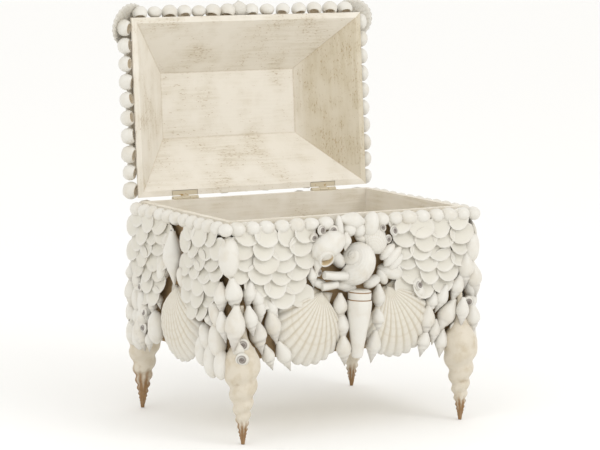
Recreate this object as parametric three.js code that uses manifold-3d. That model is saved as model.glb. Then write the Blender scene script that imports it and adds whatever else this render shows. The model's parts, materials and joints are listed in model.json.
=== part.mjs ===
// A shell box: an open-topped wooden chest on four spindle shells, with a hinged hollow lid
// shaped like a hipped roof. Sea shells cover the outside: rows of small round shells along the
// rims, overlapping cup shells hung like swags, ribbed scallops, small whelks at the corners and
// a moon snail over a cone shell in the middle of the front.
// Lengths are millimetres, +Z is up and the lid stands open, leaning a little backwards.

import * as THREE from "three";
import { mergeVertices } from "three/addons/utils/BufferGeometryUtils.js";
import Module from "manifold-3d";

// The wooden chest.
const BOX_WIDTH = 280;
const BOX_DEPTH = 188;
const BOX_HEIGHT = 140;
const BOX_WALL = 7;
const BOX_FLOOR = 7;
const RIM_HEIGHT = 222; // the chest's rim above the table, which sets how far the legs reach down

// The wooden lid, a hollow truncated pyramid.
const LID_RIM = 6; // width of the flat edge that meets the chest
const LID_HOLLOW = 51; // depth of the hollow
const LID_BOARD = 6; // thickness of the boards
const LID_PANEL_WIDTH = 164; // flat panel at the bottom of the hollow
const LID_PANEL_DEPTH = 70;
const LID_GAP = 1; // between the two rims when the lid is closed
const LID_ANGLE = 94.8; // how far the lid stands open, in degrees

// The two brass hinges.
const HINGE_LENGTH = 30;
const HINGE_SPACING = 170;
const HINGE_LEAF = 1.2;
const HINGE_LEAF_WIDTH = 5;
const KNUCKLE_RADIUS = 2.4;
const PIN_RADIUS = 1;
const PIN_CLEARANCE = 0.3;
const HINGE_OFFSET = 2.9; // the pin's axis behind the chest's back face

// The shells.
const GAP = 0.5; // room cut round a shell where the next one touches it
const BACK = GAP + 0.1; // the shells' backs, above the wood
const GLUE = 3; // thickness of the glue bed under the small shells
const BEAD_RADIUS = 6.6; // small round shells along the rims
const BEAD_PITCH = 16.5;
const CUP_WIDTH = 24; // cup shells, laid like roof tiles
const CUP_LENGTH = 26;
const CUP_ROW_PITCH = BOX_HEIGHT / 9;
const LIMPET_WIDTH = 32; // the flatter, wider shells on the lid
const LIMPET_LENGTH = 31;
const LIMPET_ROW_PITCH = 27;
const CUP_LIFT_TOP = 6; // height of a cup's upper and lower edge above the wood
const CUP_LIFT_LOW = 13;
const FIRST_CUP_EDGE = 20; // lower edge of the first row of cups, below the rim
const SCALLOP_SIZE = 76;
const SCALLOP_RISE = 13;
const SCALLOP_RIBS = 7;
const SCALLOP_BELOW = 13; // how far the scallops reach below the wood
const WHELK_LENGTH = 30;
const WHELK_RADIUS = 7.4;
const WHELK_LIFT = 9.4; // a whelk's axis above the wood
const LEG_LENGTH = 139;
const LEG_RADIUS = 18.3;
const LEG_FOOT_RADIUS = 2.2; // the worn flat tip that each leg stands on
const LEG_INSET = 10; // the foot's centre, in from the chest's side
const LEG_OUTSET = 14; // the foot's centre, in front of the chest's face
const LEG_LEAN = 2; // degrees
const MOON_SNAIL_RADIUS = 23;
const MOON_SNAIL_DROP = 53; // its middle, below the rim
const CONE_RADIUS = 12.8;
const CONE_BELOW = 6; // how far the cone shell's tip reaches below the wood
const CONE_ALONG = 4; // the cone shell, to the right of the front's middle
const FRONT_CONCH_LENGTH = 40;
const FRONT_CONCH_RADIUS = 12;
const SIDE_CONCH_LENGTH = 54;
const SIDE_CONCH_RADIUS = 11;
const SIDE_CONCH_DROP = 48;
const FAN_SIZE = 30;
const FINGER_SIZE = 34;
const TUSK_LENGTH = 28;
const TUSK_WIDTH = 10;
const BOW_HALF = 24; // half the length of the bow in the middle of the front rim
const CORNER_COCKLE_SIZE = 44;
const CENTRE_COCKLE_SIZE = 26;
const LID_SCALLOP_SIZE = 60;
const LID_SCALLOP_RISE = 12;
const LID_SNAIL_RADIUS = 20;

const CONE_DROP = MOON_SNAIL_DROP + MOON_SNAIL_RADIUS;
const CONE_LENGTH = BOX_HEIGHT + CONE_BELOW - CONE_DROP;
const SCALLOP_UMBO_DROP = BOX_HEIGHT + SCALLOP_BELOW - SCALLOP_SIZE;

const HALF_WIDTH = BOX_WIDTH / 2;
const HALF_DEPTH = BOX_DEPTH / 2;
const DEGREE = Math.PI / 180;

const wasm = await Module();
wasm.setup();

// Turns a closed geometry into a solid that can be cut and joined.
function toSolid(geometry) {
  const bare = geometry.clone();
  bare.deleteAttribute("normal");
  bare.deleteAttribute("uv");
  const merged = mergeVertices(bare, 1e-3);
  return new wasm.Manifold(
    new wasm.Mesh({
      numProp: 3,
      vertProperties: merged.attributes.position.array,
      triVerts: new Uint32Array(merged.index.array),
    }),
  );
}

function toGeometry(solid) {
  const mesh = solid.getMesh();
  const geometry = new THREE.BufferGeometry();
  geometry.setAttribute("position", new THREE.BufferAttribute(mesh.vertProperties, 3));
  geometry.setIndex(new THREE.BufferAttribute(mesh.triVerts, 1));
  return geometry;
}

const join = (geometries) =>
  toGeometry(geometries.map(toSolid).reduce((all, one) => all.add(one)));

// A cut can leave a crumb beside the shell; only the shell itself is kept.
function largestBody(solid) {
  return solid.decompose().reduce((a, b) => (a.volume() > b.volume() ? a : b));
}

// The geometry with its faces moved outwards, for cutting a neighbour with some room to spare. A
// vertex on a sharp edge moves further, so that the faces beside it move by the whole distance.
function grown(geometry, distance) {
  const bare = geometry.clone();
  bare.deleteAttribute("normal");
  bare.deleteAttribute("uv");
  const merged = mergeVertices(bare, 1e-3);
  merged.computeVertexNormals();
  const { position, normal } = merged.attributes;
  const corners = merged.index.array;
  const points = [...Array(position.count).keys()].map((i) =>
    new THREE.Vector3().fromBufferAttribute(position, i),
  );
  const lean = points.map(() => 1);
  const across = new THREE.Vector3();
  const own = new THREE.Vector3();
  for (let i = 0; i < corners.length; i += 3) {
    const three = [corners[i], corners[i + 1], corners[i + 2]];
    new THREE.Triangle(...three.map((corner) => points[corner])).getNormal(across);
    for (const corner of three) {
      own.fromBufferAttribute(normal, corner);
      lean[corner] = Math.min(lean[corner], across.dot(own));
    }
  }
  points.forEach((point, i) => {
    own.fromBufferAttribute(normal, i);
    point.addScaledVector(own, distance / Math.max(lean[i], 0.4));
    position.setXYZ(i, point.x, point.y, point.z);
  });
  return merged;
}

function boxBetween(low, high) {
  const size = high.map((value, i) => value - low[i]);
  const centre = high.map((value, i) => (value + low[i]) / 2);
  return new THREE.BoxGeometry(...size).translate(...centre);
}

// A solid of revolution about +Y; each point is a radius and a height, rising from the axis.
function turned(points, sides) {
  return new THREE.LatheGeometry(
    points.map(([radius, height]) => new THREE.Vector2(radius, height)),
    sides,
  );
}

// The materials.
const paintedWood = new THREE.MeshStandardMaterial({ color: 0xe9e0cc, roughness: 0.8 });
const whiteShell = new THREE.MeshStandardMaterial({ color: 0xf1efe8, roughness: 0.45 });
const ribbedShell = new THREE.MeshStandardMaterial({ color: 0xf0ead9, roughness: 0.55 });
const spindleShell = new THREE.MeshStandardMaterial({ color: 0xdccfb2, roughness: 0.5 });
const brass = new THREE.MeshStandardMaterial({ color: 0xb08d4a, roughness: 0.35, metalness: 1 });

// A string of round shells along +X that touch each other, centred on the origin.
const BEAD_SIDES = 5;
const BEAD_NECK = 0.5; // radius where two shells meet, as a share of a shell's radius
function beadString(count, pitch) {
  const length = count * pitch;
  const points = [[0, -length / 2]];
  for (let i = 0; i < count; i++) {
    const middle = -length / 2 + (i + 0.5) * pitch;
    points.push([BEAD_RADIUS, middle]);
    if (i < count - 1) points.push([BEAD_RADIUS * BEAD_NECK, middle + pitch / 2]);
  }
  points.push([0, length / 2]);
  const flatSideBack = Math.PI + Math.PI / BEAD_SIDES;
  return turned(points, BEAD_SIDES).rotateY(flatSideBack).rotateZ(-Math.PI / 2);
}

// The string that fits between two places along a rim.
function beadsBetween(from, to, pitch = BEAD_PITCH) {
  const count = Math.max(1, Math.round((to - from) / pitch));
  return beadString(count, (to - from) / count).translate((from + to) / 2, 0, 0);
}

// The part of a solid that stands clear of the wood, which is the plane z = 0.
function abovePlane(geometry) {
  const room = boxBetween([-999, -999, BACK], [999, 999, 99]);
  return toGeometry(toSolid(geometry).intersect(toSolid(room)));
}

// One row of cup shells as a tilted plate with a scalloped lower edge, filled in behind.
// X runs along the row, +Y points up the wall and +Z out of it.
function cupRow(count, centre, lowEdge, topEdge, cupWidth = CUP_WIDTH) {
  const half = (count * cupWidth) / 2;
  const height = topEdge - lowEdge;
  const shoulder = Math.min(cupWidth * 0.27, height * 0.6); // height of the notch between two cups
  const outline = new THREE.Shape();
  outline.moveTo(-half, height);
  for (let i = 0; i < count; i++) {
    const left = -half + i * cupWidth;
    outline.lineTo(left, shoulder);
    outline.lineTo(left + cupWidth * 0.27, 0);
    outline.lineTo(left + cupWidth * 0.73, 0);
  }
  outline.lineTo(half, shoulder);
  outline.lineTo(half, height);
  outline.closePath();
  const thick = CUP_LIFT_LOW * 2;
  const tilt = Math.atan2(CUP_LIFT_LOW - CUP_LIFT_TOP, CUP_LENGTH);
  return new THREE.ExtrudeGeometry(outline, { depth: thick, bevelEnabled: false })
    .translate(0, 0, -thick)
    .rotateX(-tilt)
    .translate(centre, lowEdge, CUP_LIFT_LOW);
}

// A swag: rows of cups that get fewer towards the bottom, where they lean towards the wall's middle.
function swag({ centre, cups, rows, lean }) {
  const parts = [];
  for (let row = 0; row < rows; row++) {
    const down = row / (rows - 1);
    const lowEdge = -FIRST_CUP_EDGE - row * CUP_ROW_PITCH;
    const topEdge = Math.min(lowEdge + CUP_LENGTH, -2 * BEAD_RADIUS - GAP);
    const count = Math.round(cups * (1 - 0.5 * down ** 3));
    const slip = row % 2 && count === cups ? 0 : 0.12 * CUP_WIDTH;
    parts.push(cupRow(count, centre + lean * down ** 2 + slip, lowEdge, topEdge));
  }
  return abovePlane(join(parts));
}

// Rows of limpets on a sloping side of the lid, whose length shrinks from bottomWidth to topWidth.
function tiledSlope(bottomWidth, topWidth, slant, firstEdge) {
  const parts = [];
  for (let edge = firstEdge; edge + LIMPET_LENGTH < slant; edge += LIMPET_ROW_PITCH) {
    const middle = edge + LIMPET_LENGTH / 2;
    const width = bottomWidth + ((topWidth - bottomWidth) * middle) / slant;
    parts.push(cupRow(Math.floor(width / LIMPET_WIDTH), 0, edge, edge + LIMPET_LENGTH, LIMPET_WIDTH));
  }
  return abovePlane(join(parts));
}

// A bed of glue with the given corners, which holds a group of small shells together.
function glueBed(corners) {
  const outline = new THREE.Shape(corners.map(([x, y]) => new THREE.Vector2(x, y)));
  return new THREE.ExtrudeGeometry(outline, { depth: GLUE, bevelEnabled: false }).translate(0, 0, BACK);
}

// A ribbed scallop with its narrow end at the origin, opening towards -Y, with its hollow side at z = 0.
function scallop({ size, rise, ribs, spread = 58, ribHeight = 1.3 }) {
  const lines = 2 * ribs;
  const rings = [0.3, 0.68, 1];
  const arch = [0.8, 1, 0.12]; // height of the back of the shell at each ring, as a share of rise
  const positions = [0, 0, rise * 0.35, 0, 0, 0];
  const at = (line, ring, lifted) => {
    const angle = (-spread + (2 * spread * line) / lines) * DEGREE;
    const side = 1 - 0.3 * Math.abs(line / ribs - 1) ** 3;
    const reach = size * rings[ring] * Math.cos(angle * 0.92);
    const rib = (line % 2 ? ribHeight : -ribHeight) * rings[ring];
    const height = lifted ? Math.max(rise * arch[ring] * side + rib, 1.2) : 0;
    return [reach * Math.sin(angle), -reach * Math.cos(angle), height];
  };
  for (let ring = 0; ring < rings.length; ring++)
    for (let line = 0; line <= lines; line++) positions.push(...at(line, ring, true));
  const base = positions.length / 3;
  const bottom = [];
  for (let line = 0; line <= lines; line++) {
    bottom.push(base + line);
    positions.push(...at(line, rings.length - 1, false));
  }
  const top = (line, ring) => 2 + ring * (lines + 1) + line;
  const faces = [];
  for (let line = 0; line < lines; line++) {
    faces.push(0, top(line, 0), top(line + 1, 0));
    for (let ring = 0; ring < rings.length - 1; ring++) {
      faces.push(top(line, ring), top(line, ring + 1), top(line + 1, ring + 1));
      faces.push(top(line, ring), top(line + 1, ring + 1), top(line + 1, ring));
    }
    const rim = rings.length - 1;
    faces.push(top(line, rim), bottom[line], bottom[line + 1]);
    faces.push(top(line, rim), bottom[line + 1], top(line + 1, rim));
    faces.push(1, bottom[line + 1], bottom[line]);
  }
  const edge = (line) => [0, ...rings.map((_, ring) => top(line, ring)), bottom[line]];
  for (const [line, turn] of [[0, false], [lines, true]]) {
    const loop = edge(line);
    for (let i = 0; i < loop.length - 1; i++) {
      faces.push(...(turn ? [1, loop[i], loop[i + 1]] : [1, loop[i + 1], loop[i]]));
    }
  }
  const geometry = new THREE.BufferGeometry();
  geometry.setAttribute("position", new THREE.Float32BufferAttribute(positions, 3));
  geometry.setIndex(faces);
  return geometry;
}

// A small whelk hanging down from the origin with its pointed spire at -Y.
function whelk(length = WHELK_LENGTH, radius = WHELK_RADIUS, sides = 5) {
  return turned(
    [
      [0, -length / 2],
      [radius * 0.62, -length * 0.2],
      [radius, length * 0.1],
      [radius * 0.62, length * 0.36],
      [0, length / 2],
    ],
    sides,
  );
}

// A string of whelks hanging down from the origin, each with its spire towards -Y.
const WHELK_SIDES = 4;
const WHELK_PITCH = 25;
function whelkString(count) {
  const points = [[0, -count * WHELK_PITCH]];
  for (let i = count; i > 0; i--) {
    const tip = -i * WHELK_PITCH;
    points.push([WHELK_RADIUS, tip + WHELK_PITCH * 0.62]);
    if (i > 1) points.push([WHELK_RADIUS * 0.35, tip + WHELK_PITCH]);
  }
  points.push([0, 0]);
  return turned(points, WHELK_SIDES);
}

// A coiled shell about +Y with its apex at y = 0: its radius follows the envelope, and a groove
// winds round it where one whorl meets the next.
function coiled({ heights, envelope, firstWhorl, ratio, groove, sides, flatTip = 0 }) {
  const positions = [0, heights[0], 0];
  const rings = heights.map((height) => {
    const start = positions.length / 3;
    for (let side = 0; side < sides; side++) {
      const angle = (2 * Math.PI * side) / sides;
      const whorl = Math.log(Math.max(height, 1) / firstWhorl) / Math.log(ratio) + side / sides;
      const share = whorl - Math.floor(whorl);
      const dip = height > heights[0] ? groove * Math.cos(2 * Math.PI * share) : 0;
      const radius = Math.max(envelope(height) * (1 - dip), flatTip);
      positions.push(radius * Math.cos(angle), height, -radius * Math.sin(angle));
    }
    return start;
  });
  const top = positions.length / 3;
  positions.push(0, heights[heights.length - 1] + 0.5, 0);
  const faces = [];
  for (let side = 0; side < sides; side++) {
    const next = (side + 1) % sides;
    faces.push(0, rings[0] + next, rings[0] + side);
    for (let i = 0; i < rings.length - 1; i++) {
      const [a, b] = [rings[i], rings[i + 1]];
      faces.push(a + side, a + next, b + next, a + side, b + next, b + side);
    }
    const last = rings[rings.length - 1];
    faces.push(last + side, last + next, top);
  }
  const geometry = new THREE.BufferGeometry();
  geometry.setAttribute("position", new THREE.Float32BufferAttribute(positions, 3));
  geometry.setIndex(faces);
  return geometry;
}

// A spindle shell standing on its spire, with its long canal at the top.
const LEG_SHOULDER = 0.46; // height of the widest part, as a share of the length
const LEG_NECK = 0.7; // height where the canal starts
const LEG_CANAL_RADIUS = 4.4;
function legRadius(height) {
  const share = height / LEG_LENGTH;
  if (share <= LEG_SHOULDER)
    return LEG_FOOT_RADIUS + (LEG_RADIUS - LEG_FOOT_RADIUS) * (share / LEG_SHOULDER);
  if (share >= LEG_NECK) return LEG_CANAL_RADIUS * (1 - 0.35 * ((share - LEG_NECK) / (1 - LEG_NECK)));
  const fall = (share - LEG_SHOULDER) / (LEG_NECK - LEG_SHOULDER);
  return LEG_CANAL_RADIUS + (LEG_RADIUS - LEG_CANAL_RADIUS) * (1 - fall) ** 1.5;
}

function spindle() {
  const shares = [0, 0.08, 0.13, 0.18, 0.24, 0.3, 0.37, 0.45, 0.53, 0.6, 0.7, 1];
  return coiled({
    heights: shares.map((share) => share * LEG_LENGTH),
    envelope: legRadius,
    firstWhorl: LEG_LENGTH * 0.52,
    ratio: 0.7,
    groove: 0.1,
    sides: 8,
    flatTip: LEG_FOOT_RADIUS,
  });
}

// The moon snail: a low coil whose apex looks out of the wall, up and to one side.
function moonSnail(radius) {
  const heights = [0, 0.12, 0.3, 0.55, 0.85, 1.2].map((share) => share * radius);
  const envelope = (height) => radius * Math.sin(Math.min(1, height / radius / 0.95 + 0.14) * 1.55);
  return coiled({
    heights,
    envelope,
    firstWhorl: radius,
    ratio: 0.42,
    groove: 0.12,
    sides: 9,
  }).rotateX(-Math.PI / 2);
}

// A cone shell hanging from its shouldered spire.
function coneShell() {
  return turned(
    [
      [0, -CONE_LENGTH],
      [CONE_RADIUS * 0.42, -CONE_LENGTH],
      [CONE_RADIUS * 0.74, -CONE_LENGTH * 0.66],
      [CONE_RADIUS, -CONE_LENGTH * 0.28],
      [CONE_RADIUS * 0.99, -CONE_LENGTH * 0.14],
      [CONE_RADIUS * 0.88, -CONE_LENGTH * 0.12],
      [CONE_RADIUS * 0.86, -CONE_LENGTH * 0.02],
      [0, 0],
    ],
    8,
  );
}

// A small conch with a flared mouth.
function conch(length, radius) {
  const body = turned(
    [
      [0, -length / 2],
      [radius * 0.6, -length * 0.3],
      [radius, -length * 0.02],
      [radius * 0.92, length * 0.2],
      [radius * 0.45, length * 0.4],
      [0, length / 2],
    ],
    6,
  );
  const mouth = new THREE.SphereGeometry(radius * 0.55, 5, 3)
    .scale(0.7, 1.5, 1)
    .translate(radius * 0.35, -length * 0.16, radius * 1.0);
  return toGeometry(toSolid(body).subtract(toSolid(mouth)));
}

// The chest: four walls and a floor, with a seat for each hinge leaf cut into the back rim.
function chest() {
  const shell = toSolid(
    boxBetween([-HALF_WIDTH, -HALF_DEPTH, -BOX_HEIGHT], [HALF_WIDTH, HALF_DEPTH, 0]),
  );
  const inside = toSolid(
    boxBetween(
      [BOX_WALL - HALF_WIDTH, BOX_WALL - HALF_DEPTH, BOX_FLOOR - BOX_HEIGHT],
      [HALF_WIDTH - BOX_WALL, HALF_DEPTH - BOX_WALL, 1],
    ),
  );
  return toGeometry(cutSeats(shell.subtract(inside), -1));
}

// Cuts the two leaf seats. The chest's lie below z = 0 and the lid's above it.
function cutSeats(solid, side) {
  const deep = (HINGE_LEAF + BACK) * side;
  for (const middle of [-HINGE_SPACING / 2, HINGE_SPACING / 2]) {
    const half = HINGE_LENGTH / 2 + BACK;
    const seat = boxBetween(
      [middle - half, HALF_DEPTH - HINGE_LEAF_WIDTH - BACK, Math.min(deep, -side)],
      [middle + half, HALF_DEPTH + 1, Math.max(deep, -side)],
    );
    solid = solid.subtract(toSolid(seat));
  }
  return solid;
}

// A truncated pyramid from a rectangle at z = low to a smaller one at z = high.
function pyramid(lowHalf, low, highHalf, high) {
  const corners = [[-1, -1], [1, -1], [1, 1], [-1, 1]];
  const positions = [
    ...corners.flatMap(([x, y]) => [x * lowHalf[0], y * lowHalf[1], low]),
    ...corners.flatMap(([x, y]) => [x * highHalf[0], y * highHalf[1], high]),
  ];
  const faces = [0, 2, 1, 0, 3, 2, 4, 5, 6, 4, 6, 7];
  for (let i = 0; i < 4; i++) {
    const next = (i + 1) % 4;
    faces.push(i, next, next + 4, i, next + 4, i + 4);
  }
  const geometry = new THREE.BufferGeometry();
  geometry.setAttribute("position", new THREE.Float32BufferAttribute(positions, 3));
  geometry.setIndex(faces);
  return geometry;
}

// How far a side of the hollow leans in over its depth, and the angle that it makes with the rim.
const LEAN_X = HALF_WIDTH - LID_RIM - LID_PANEL_WIDTH / 2;
const LEAN_Y = HALF_DEPTH - LID_RIM - LID_PANEL_DEPTH / 2;
const SLOPE_X = Math.atan2(LID_HOLLOW, LEAN_X);
const SLOPE_Y = Math.atan2(LID_HOLLOW, LEAN_Y);
const LID_RISE = LID_HOLLOW + LID_BOARD;
const outerHalf = (half, slope, height) =>
  half - LID_RIM + LID_BOARD / Math.sin(slope) - height / Math.tan(slope);
const TOP_HALF_WIDTH = outerHalf(HALF_WIDTH, SLOPE_X, LID_RISE);
const TOP_HALF_DEPTH = outerHalf(HALF_DEPTH, SLOPE_Y, LID_RISE);

// The lid in its closed place, its rim at z = 0.
function lidBoards() {
  const below = -20;
  const outside = toSolid(
    pyramid(
      [outerHalf(HALF_WIDTH, SLOPE_X, below), outerHalf(HALF_DEPTH, SLOPE_Y, below)],
      below,
      [TOP_HALF_WIDTH, TOP_HALF_DEPTH],
      LID_RISE,
    ),
  ).intersect(
    toSolid(boxBetween([-HALF_WIDTH, -HALF_DEPTH, 0], [HALF_WIDTH, HALF_DEPTH, LID_RISE + 1])),
  );
  const hollow = toSolid(
    pyramid(
      [HALF_WIDTH - LID_RIM + LEAN_X, HALF_DEPTH - LID_RIM + LEAN_Y],
      -LID_HOLLOW,
      [LID_PANEL_WIDTH / 2, LID_PANEL_DEPTH / 2],
      LID_HOLLOW,
    ),
  );
  return toGeometry(cutSeats(outside.subtract(hollow), 1));
}

// One half of a hinge, about its pin along X at the origin. The chest's half has the pin and the
// outer knuckles, and the lid's half the middle knuckle with a bore.
function hingeHalf(forLid) {
  const third = HINGE_LENGTH / 3;
  const knuckle = (length, bore) => {
    const ring = new THREE.Shape().absarc(0, 0, KNUCKLE_RADIUS, 0, 2 * Math.PI);
    if (bore) ring.holes.push(new THREE.Path().absarc(0, 0, bore, 0, 2 * Math.PI, true));
    const options = { depth: length, bevelEnabled: false, curveSegments: 4 };
    return new THREE.ExtrudeGeometry(ring, options)
      .translate(0, 0, -length / 2)
      .rotateY(Math.PI / 2);
  };
  const rim = (forLid ? 1 : -1) * (LID_GAP / 2);
  const [low, high] = forLid ? [rim, rim + HINGE_LEAF] : [rim - HINGE_LEAF, rim];
  const leafEnd = -HINGE_OFFSET - HINGE_LEAF_WIDTH;
  const leaf = boxBetween([-HINGE_LENGTH / 2, leafEnd, low], [HINGE_LENGTH / 2, -HINGE_OFFSET, high]);
  const bridge = (from, to) =>
    boxBetween([from, -HINGE_OFFSET - 1, low], [to, -PIN_RADIUS - PIN_CLEARANCE - 0.3, high]);
  if (forLid) {
    const half = third / 2 - PIN_CLEARANCE;
    return join([knuckle(2 * half, PIN_RADIUS + PIN_CLEARANCE), leaf, bridge(-half, half)]);
  }
  const pin = new THREE.CylinderGeometry(PIN_RADIUS, PIN_RADIUS, HINGE_LENGTH, 6).rotateZ(Math.PI / 2);
  const outer = [-1, 1].flatMap((side) => {
    const ends = [(side * third) / 2, (side * HINGE_LENGTH) / 2].sort((a, b) => a - b);
    return [knuckle(third, 0).translate(side * third, 0, 0), bridge(...ends)];
  });
  return join([pin, leaf, ...outer]);
}

// A wall's frame: X along the wall as seen from outside, Y up from the rim and Z out of the wood.
function wallFrame(turn, half, height) {
  return new THREE.Matrix4()
    .makeRotationZ(turn)
    .multiply(new THREE.Matrix4().makeTranslation(0, -half, height))
    .multiply(new THREE.Matrix4().makeRotationX(Math.PI / 2));
}

const FRONT = wallFrame(0, HALF_DEPTH, 0);
const LEFT = wallFrame(-Math.PI / 2, HALF_WIDTH, 0);
const REAR = wallFrame(Math.PI, HALF_DEPTH, 0);
const RIGHT = wallFrame(Math.PI / 2, HALF_WIDTH, 0);

// A lid slope's frame: X along the rim, Y up the slope from the rim and Z out of the boards.
function slopeFrame(turn, half, slope) {
  const start = outerHalf(half, slope, 0);
  return new THREE.Matrix4()
    .makeRotationZ(turn)
    .multiply(new THREE.Matrix4().makeTranslation(0, -start, 0))
    .multiply(new THREE.Matrix4().makeRotationX(slope));
}

const SLOPES = {
  front: slopeFrame(0, HALF_DEPTH, SLOPE_Y),
  left: slopeFrame(-Math.PI / 2, HALF_WIDTH, SLOPE_X),
  back: slopeFrame(Math.PI, HALF_DEPTH, SLOPE_Y),
  right: slopeFrame(Math.PI / 2, HALF_WIDTH, SLOPE_X),
};

// A leg at one corner of the chest, leaning a little, with its tip worn flat on the table. A pad
// of glue holds its canal to the wall.
const FOOT_WEAR = 0.5;
function leg(sideX, sideY) {
  const footX = sideX * (HALF_WIDTH - LEG_INSET);
  const footY = sideY * (HALF_DEPTH + LEG_OUTSET);
  const shell = spindle()
    .rotateX(Math.PI / 2 + sideY * LEG_LEAN * DEGREE)
    .translate(footX, footY, -RIM_HEIGHT - FOOT_WEAR);
  const table = boxBetween([footX - 9, footY - 9, -RIM_HEIGHT - 9], [footX + 9, footY + 9, -RIM_HEIGHT]);
  const canalY = sideY * (HALF_DEPTH + LEG_OUTSET - LEG_LENGTH * Math.sin(LEG_LEAN * DEGREE));
  const depths = [sideY * (HALF_DEPTH + BACK), canalY].sort((a, b) => a - b);
  const pad = boxBetween(
    [footX - LEG_CANAL_RADIUS / 2, depths[0], -RIM_HEIGHT + LEG_LENGTH * (LEG_NECK + 0.04)],
    [footX + LEG_CANAL_RADIUS / 2, depths[1], -RIM_HEIGHT + LEG_LENGTH * 0.95],
  );
  return toGeometry(toSolid(shell).subtract(toSolid(table)).add(toSolid(pad)));
}

// Whelks at one corner: a triangle of strings on each of the two walls, with their spires turned
// towards the wall's middle, and one string down the corner itself.
const STRING_PITCH = 13;
const STRING_LENGTH = 3; // whelks in the longest string
const SPIRES_BELOW = 12; // how far the lowest spires reach below the wood
const CORNER_STRING_LENGTH = 84;
const CORNER_STRING_OUT = 5; // its axis outside the wood
const FIRST_STRING_IN = 30; // the first string on the wide walls, in from the corner
function cornerWhelks(wideWall, narrowWall, onRight) {
  const mirror = onRight ? 1 : -1;
  const bottom = -BOX_HEIGHT - SPIRES_BELOW;
  const wall = (frame, half, side, first) => {
    const bed = [
      [side * (half + GLUE), bottom + WHELK_LENGTH],
      [side * (half - first), bottom + WHELK_LENGTH],
      [side * (half - first), bottom + 1.5 * WHELK_LENGTH],
      [side * (half + GLUE), bottom + 1.5 * WHELK_LENGTH],
    ];
    const strings = [glueBed(bed)];
    for (let count = STRING_LENGTH; count > 0; count--) {
      const place = STRING_LENGTH - count;
      strings.push(
        whelkString(count)
          .translate(0, count * WHELK_PITCH, 0)
          .rotateZ(side * -(5 + 7 * place) * DEGREE)
          .translate(side * (half - first - place * STRING_PITCH), bottom, WHELK_LIFT),
      );
    }
    return strings.map((geometry) => geometry.applyMatrix4(frame));
  };
  const corner = whelkString(STRING_LENGTH)
    .scale(1.2, 1.1, 1.2)
    .translate(
      mirror * (HALF_WIDTH + CORNER_STRING_OUT),
      bottom + CORNER_STRING_LENGTH,
      CORNER_STRING_OUT,
    )
    .applyMatrix4(wideWall);
  return join([
    ...wall(wideWall, HALF_WIDTH, mirror, FIRST_STRING_IN),
    ...wall(narrowWall, HALF_DEPTH, -mirror, STRING_PITCH),
    corner,
  ]);
}

// A string of whelks that hangs beside the cone shell.
function frontString(side, turn) {
  return whelkString(STRING_LENGTH)
    .rotateZ(turn * DEGREE)
    .translate(CONE_ALONG + side * (CONE_RADIUS + WHELK_RADIUS), -CONE_DROP, WHELK_LIFT);
}

// The bow of long and round shells in the middle of the front rim.
function rimBow() {
  const lying = (length, radius, x, y, z, turn) =>
    whelk(length, radius).rotateZ(turn * DEGREE).translate(x, y, z);
  const round = (radius, x, y, z) =>
    new THREE.SphereGeometry(radius, 6, 3).rotateX(Math.PI / 2).translate(x, y, z);
  const size = BOW_HALF;
  const lift = BEAD_RADIUS + 2 * BACK;
  const radius = 0.37 * size;
  return join([
    lying(1.5 * size, BEAD_RADIUS, 0, -BEAD_RADIUS, lift, 88),
    lying(size, 0.85 * BEAD_RADIUS, 0.8 * size, -0.45 * size, lift, -62),
    round(radius, -0.3 * size, -0.8 * size, BEAD_RADIUS),
    round(radius, 0.4 * size, -0.8 * size, BEAD_RADIUS),
  ]);
}

// Pieces, in the order in which they were glued on: each one gives way to those before it.
const pieces = [];
const piece = (name, body, material, geometry, frame = new THREE.Matrix4()) => {
  pieces.push({ name, body, material, geometry: geometry.applyMatrix4(frame) });
};

piece("box_body", "chest", paintedWood, chest());

for (const [place, sideX, sideY] of [
  ["front_left", -1, -1],
  ["front_right", 1, -1],
  ["back_left", -1, 1],
  ["back_right", 1, 1],
]) {
  piece("leg_" + place, "chest", spindleShell, leg(sideX, sideY));
}

const hingeAxis = new THREE.Vector3(0, HALF_DEPTH + HINGE_OFFSET, LID_GAP / 2);
// The lid's own pieces are made closed, with the lid's rim at z = LID_GAP.
const onLid = new THREE.Matrix4().makeTranslation(0, 0, LID_GAP);
const lidPiece = (name, material, geometry, frame = new THREE.Matrix4()) =>
  piece(name, "lid", material, geometry.applyMatrix4(frame), onLid);
lidPiece("lid_body", paintedWood, lidBoards());

for (const [side, place] of [[-1, "left"], [1, "right"]]) {
  const at = new THREE.Matrix4().makeTranslation(
    (side * HINGE_SPACING) / 2,
    hingeAxis.y,
    hingeAxis.z,
  );
  piece(`hinge_${place}_chest_leaf`, "chest", brass, hingeHalf(false), at);
  piece(`hinge_${place}_lid_leaf`, "lid", brass, hingeHalf(true), at);
}

// The front's middle.
const CONE_LIFT = 15;
const SNAIL_LIFT = 27;
piece(
  "cone_shell",
  "chest",
  whiteShell,
  coneShell().translate(CONE_ALONG, -CONE_DROP, CONE_LIFT),
  FRONT,
);
piece(
  "moon_snail",
  "chest",
  whiteShell,
  moonSnail(MOON_SNAIL_RADIUS)
    .rotateX(-0.5)
    .rotateY(-0.42)
    .translate(CONE_ALONG - 0.35 * MOON_SNAIL_RADIUS, -MOON_SNAIL_DROP + 0.52 * MOON_SNAIL_RADIUS, SNAIL_LIFT),
  FRONT,
);

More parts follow.
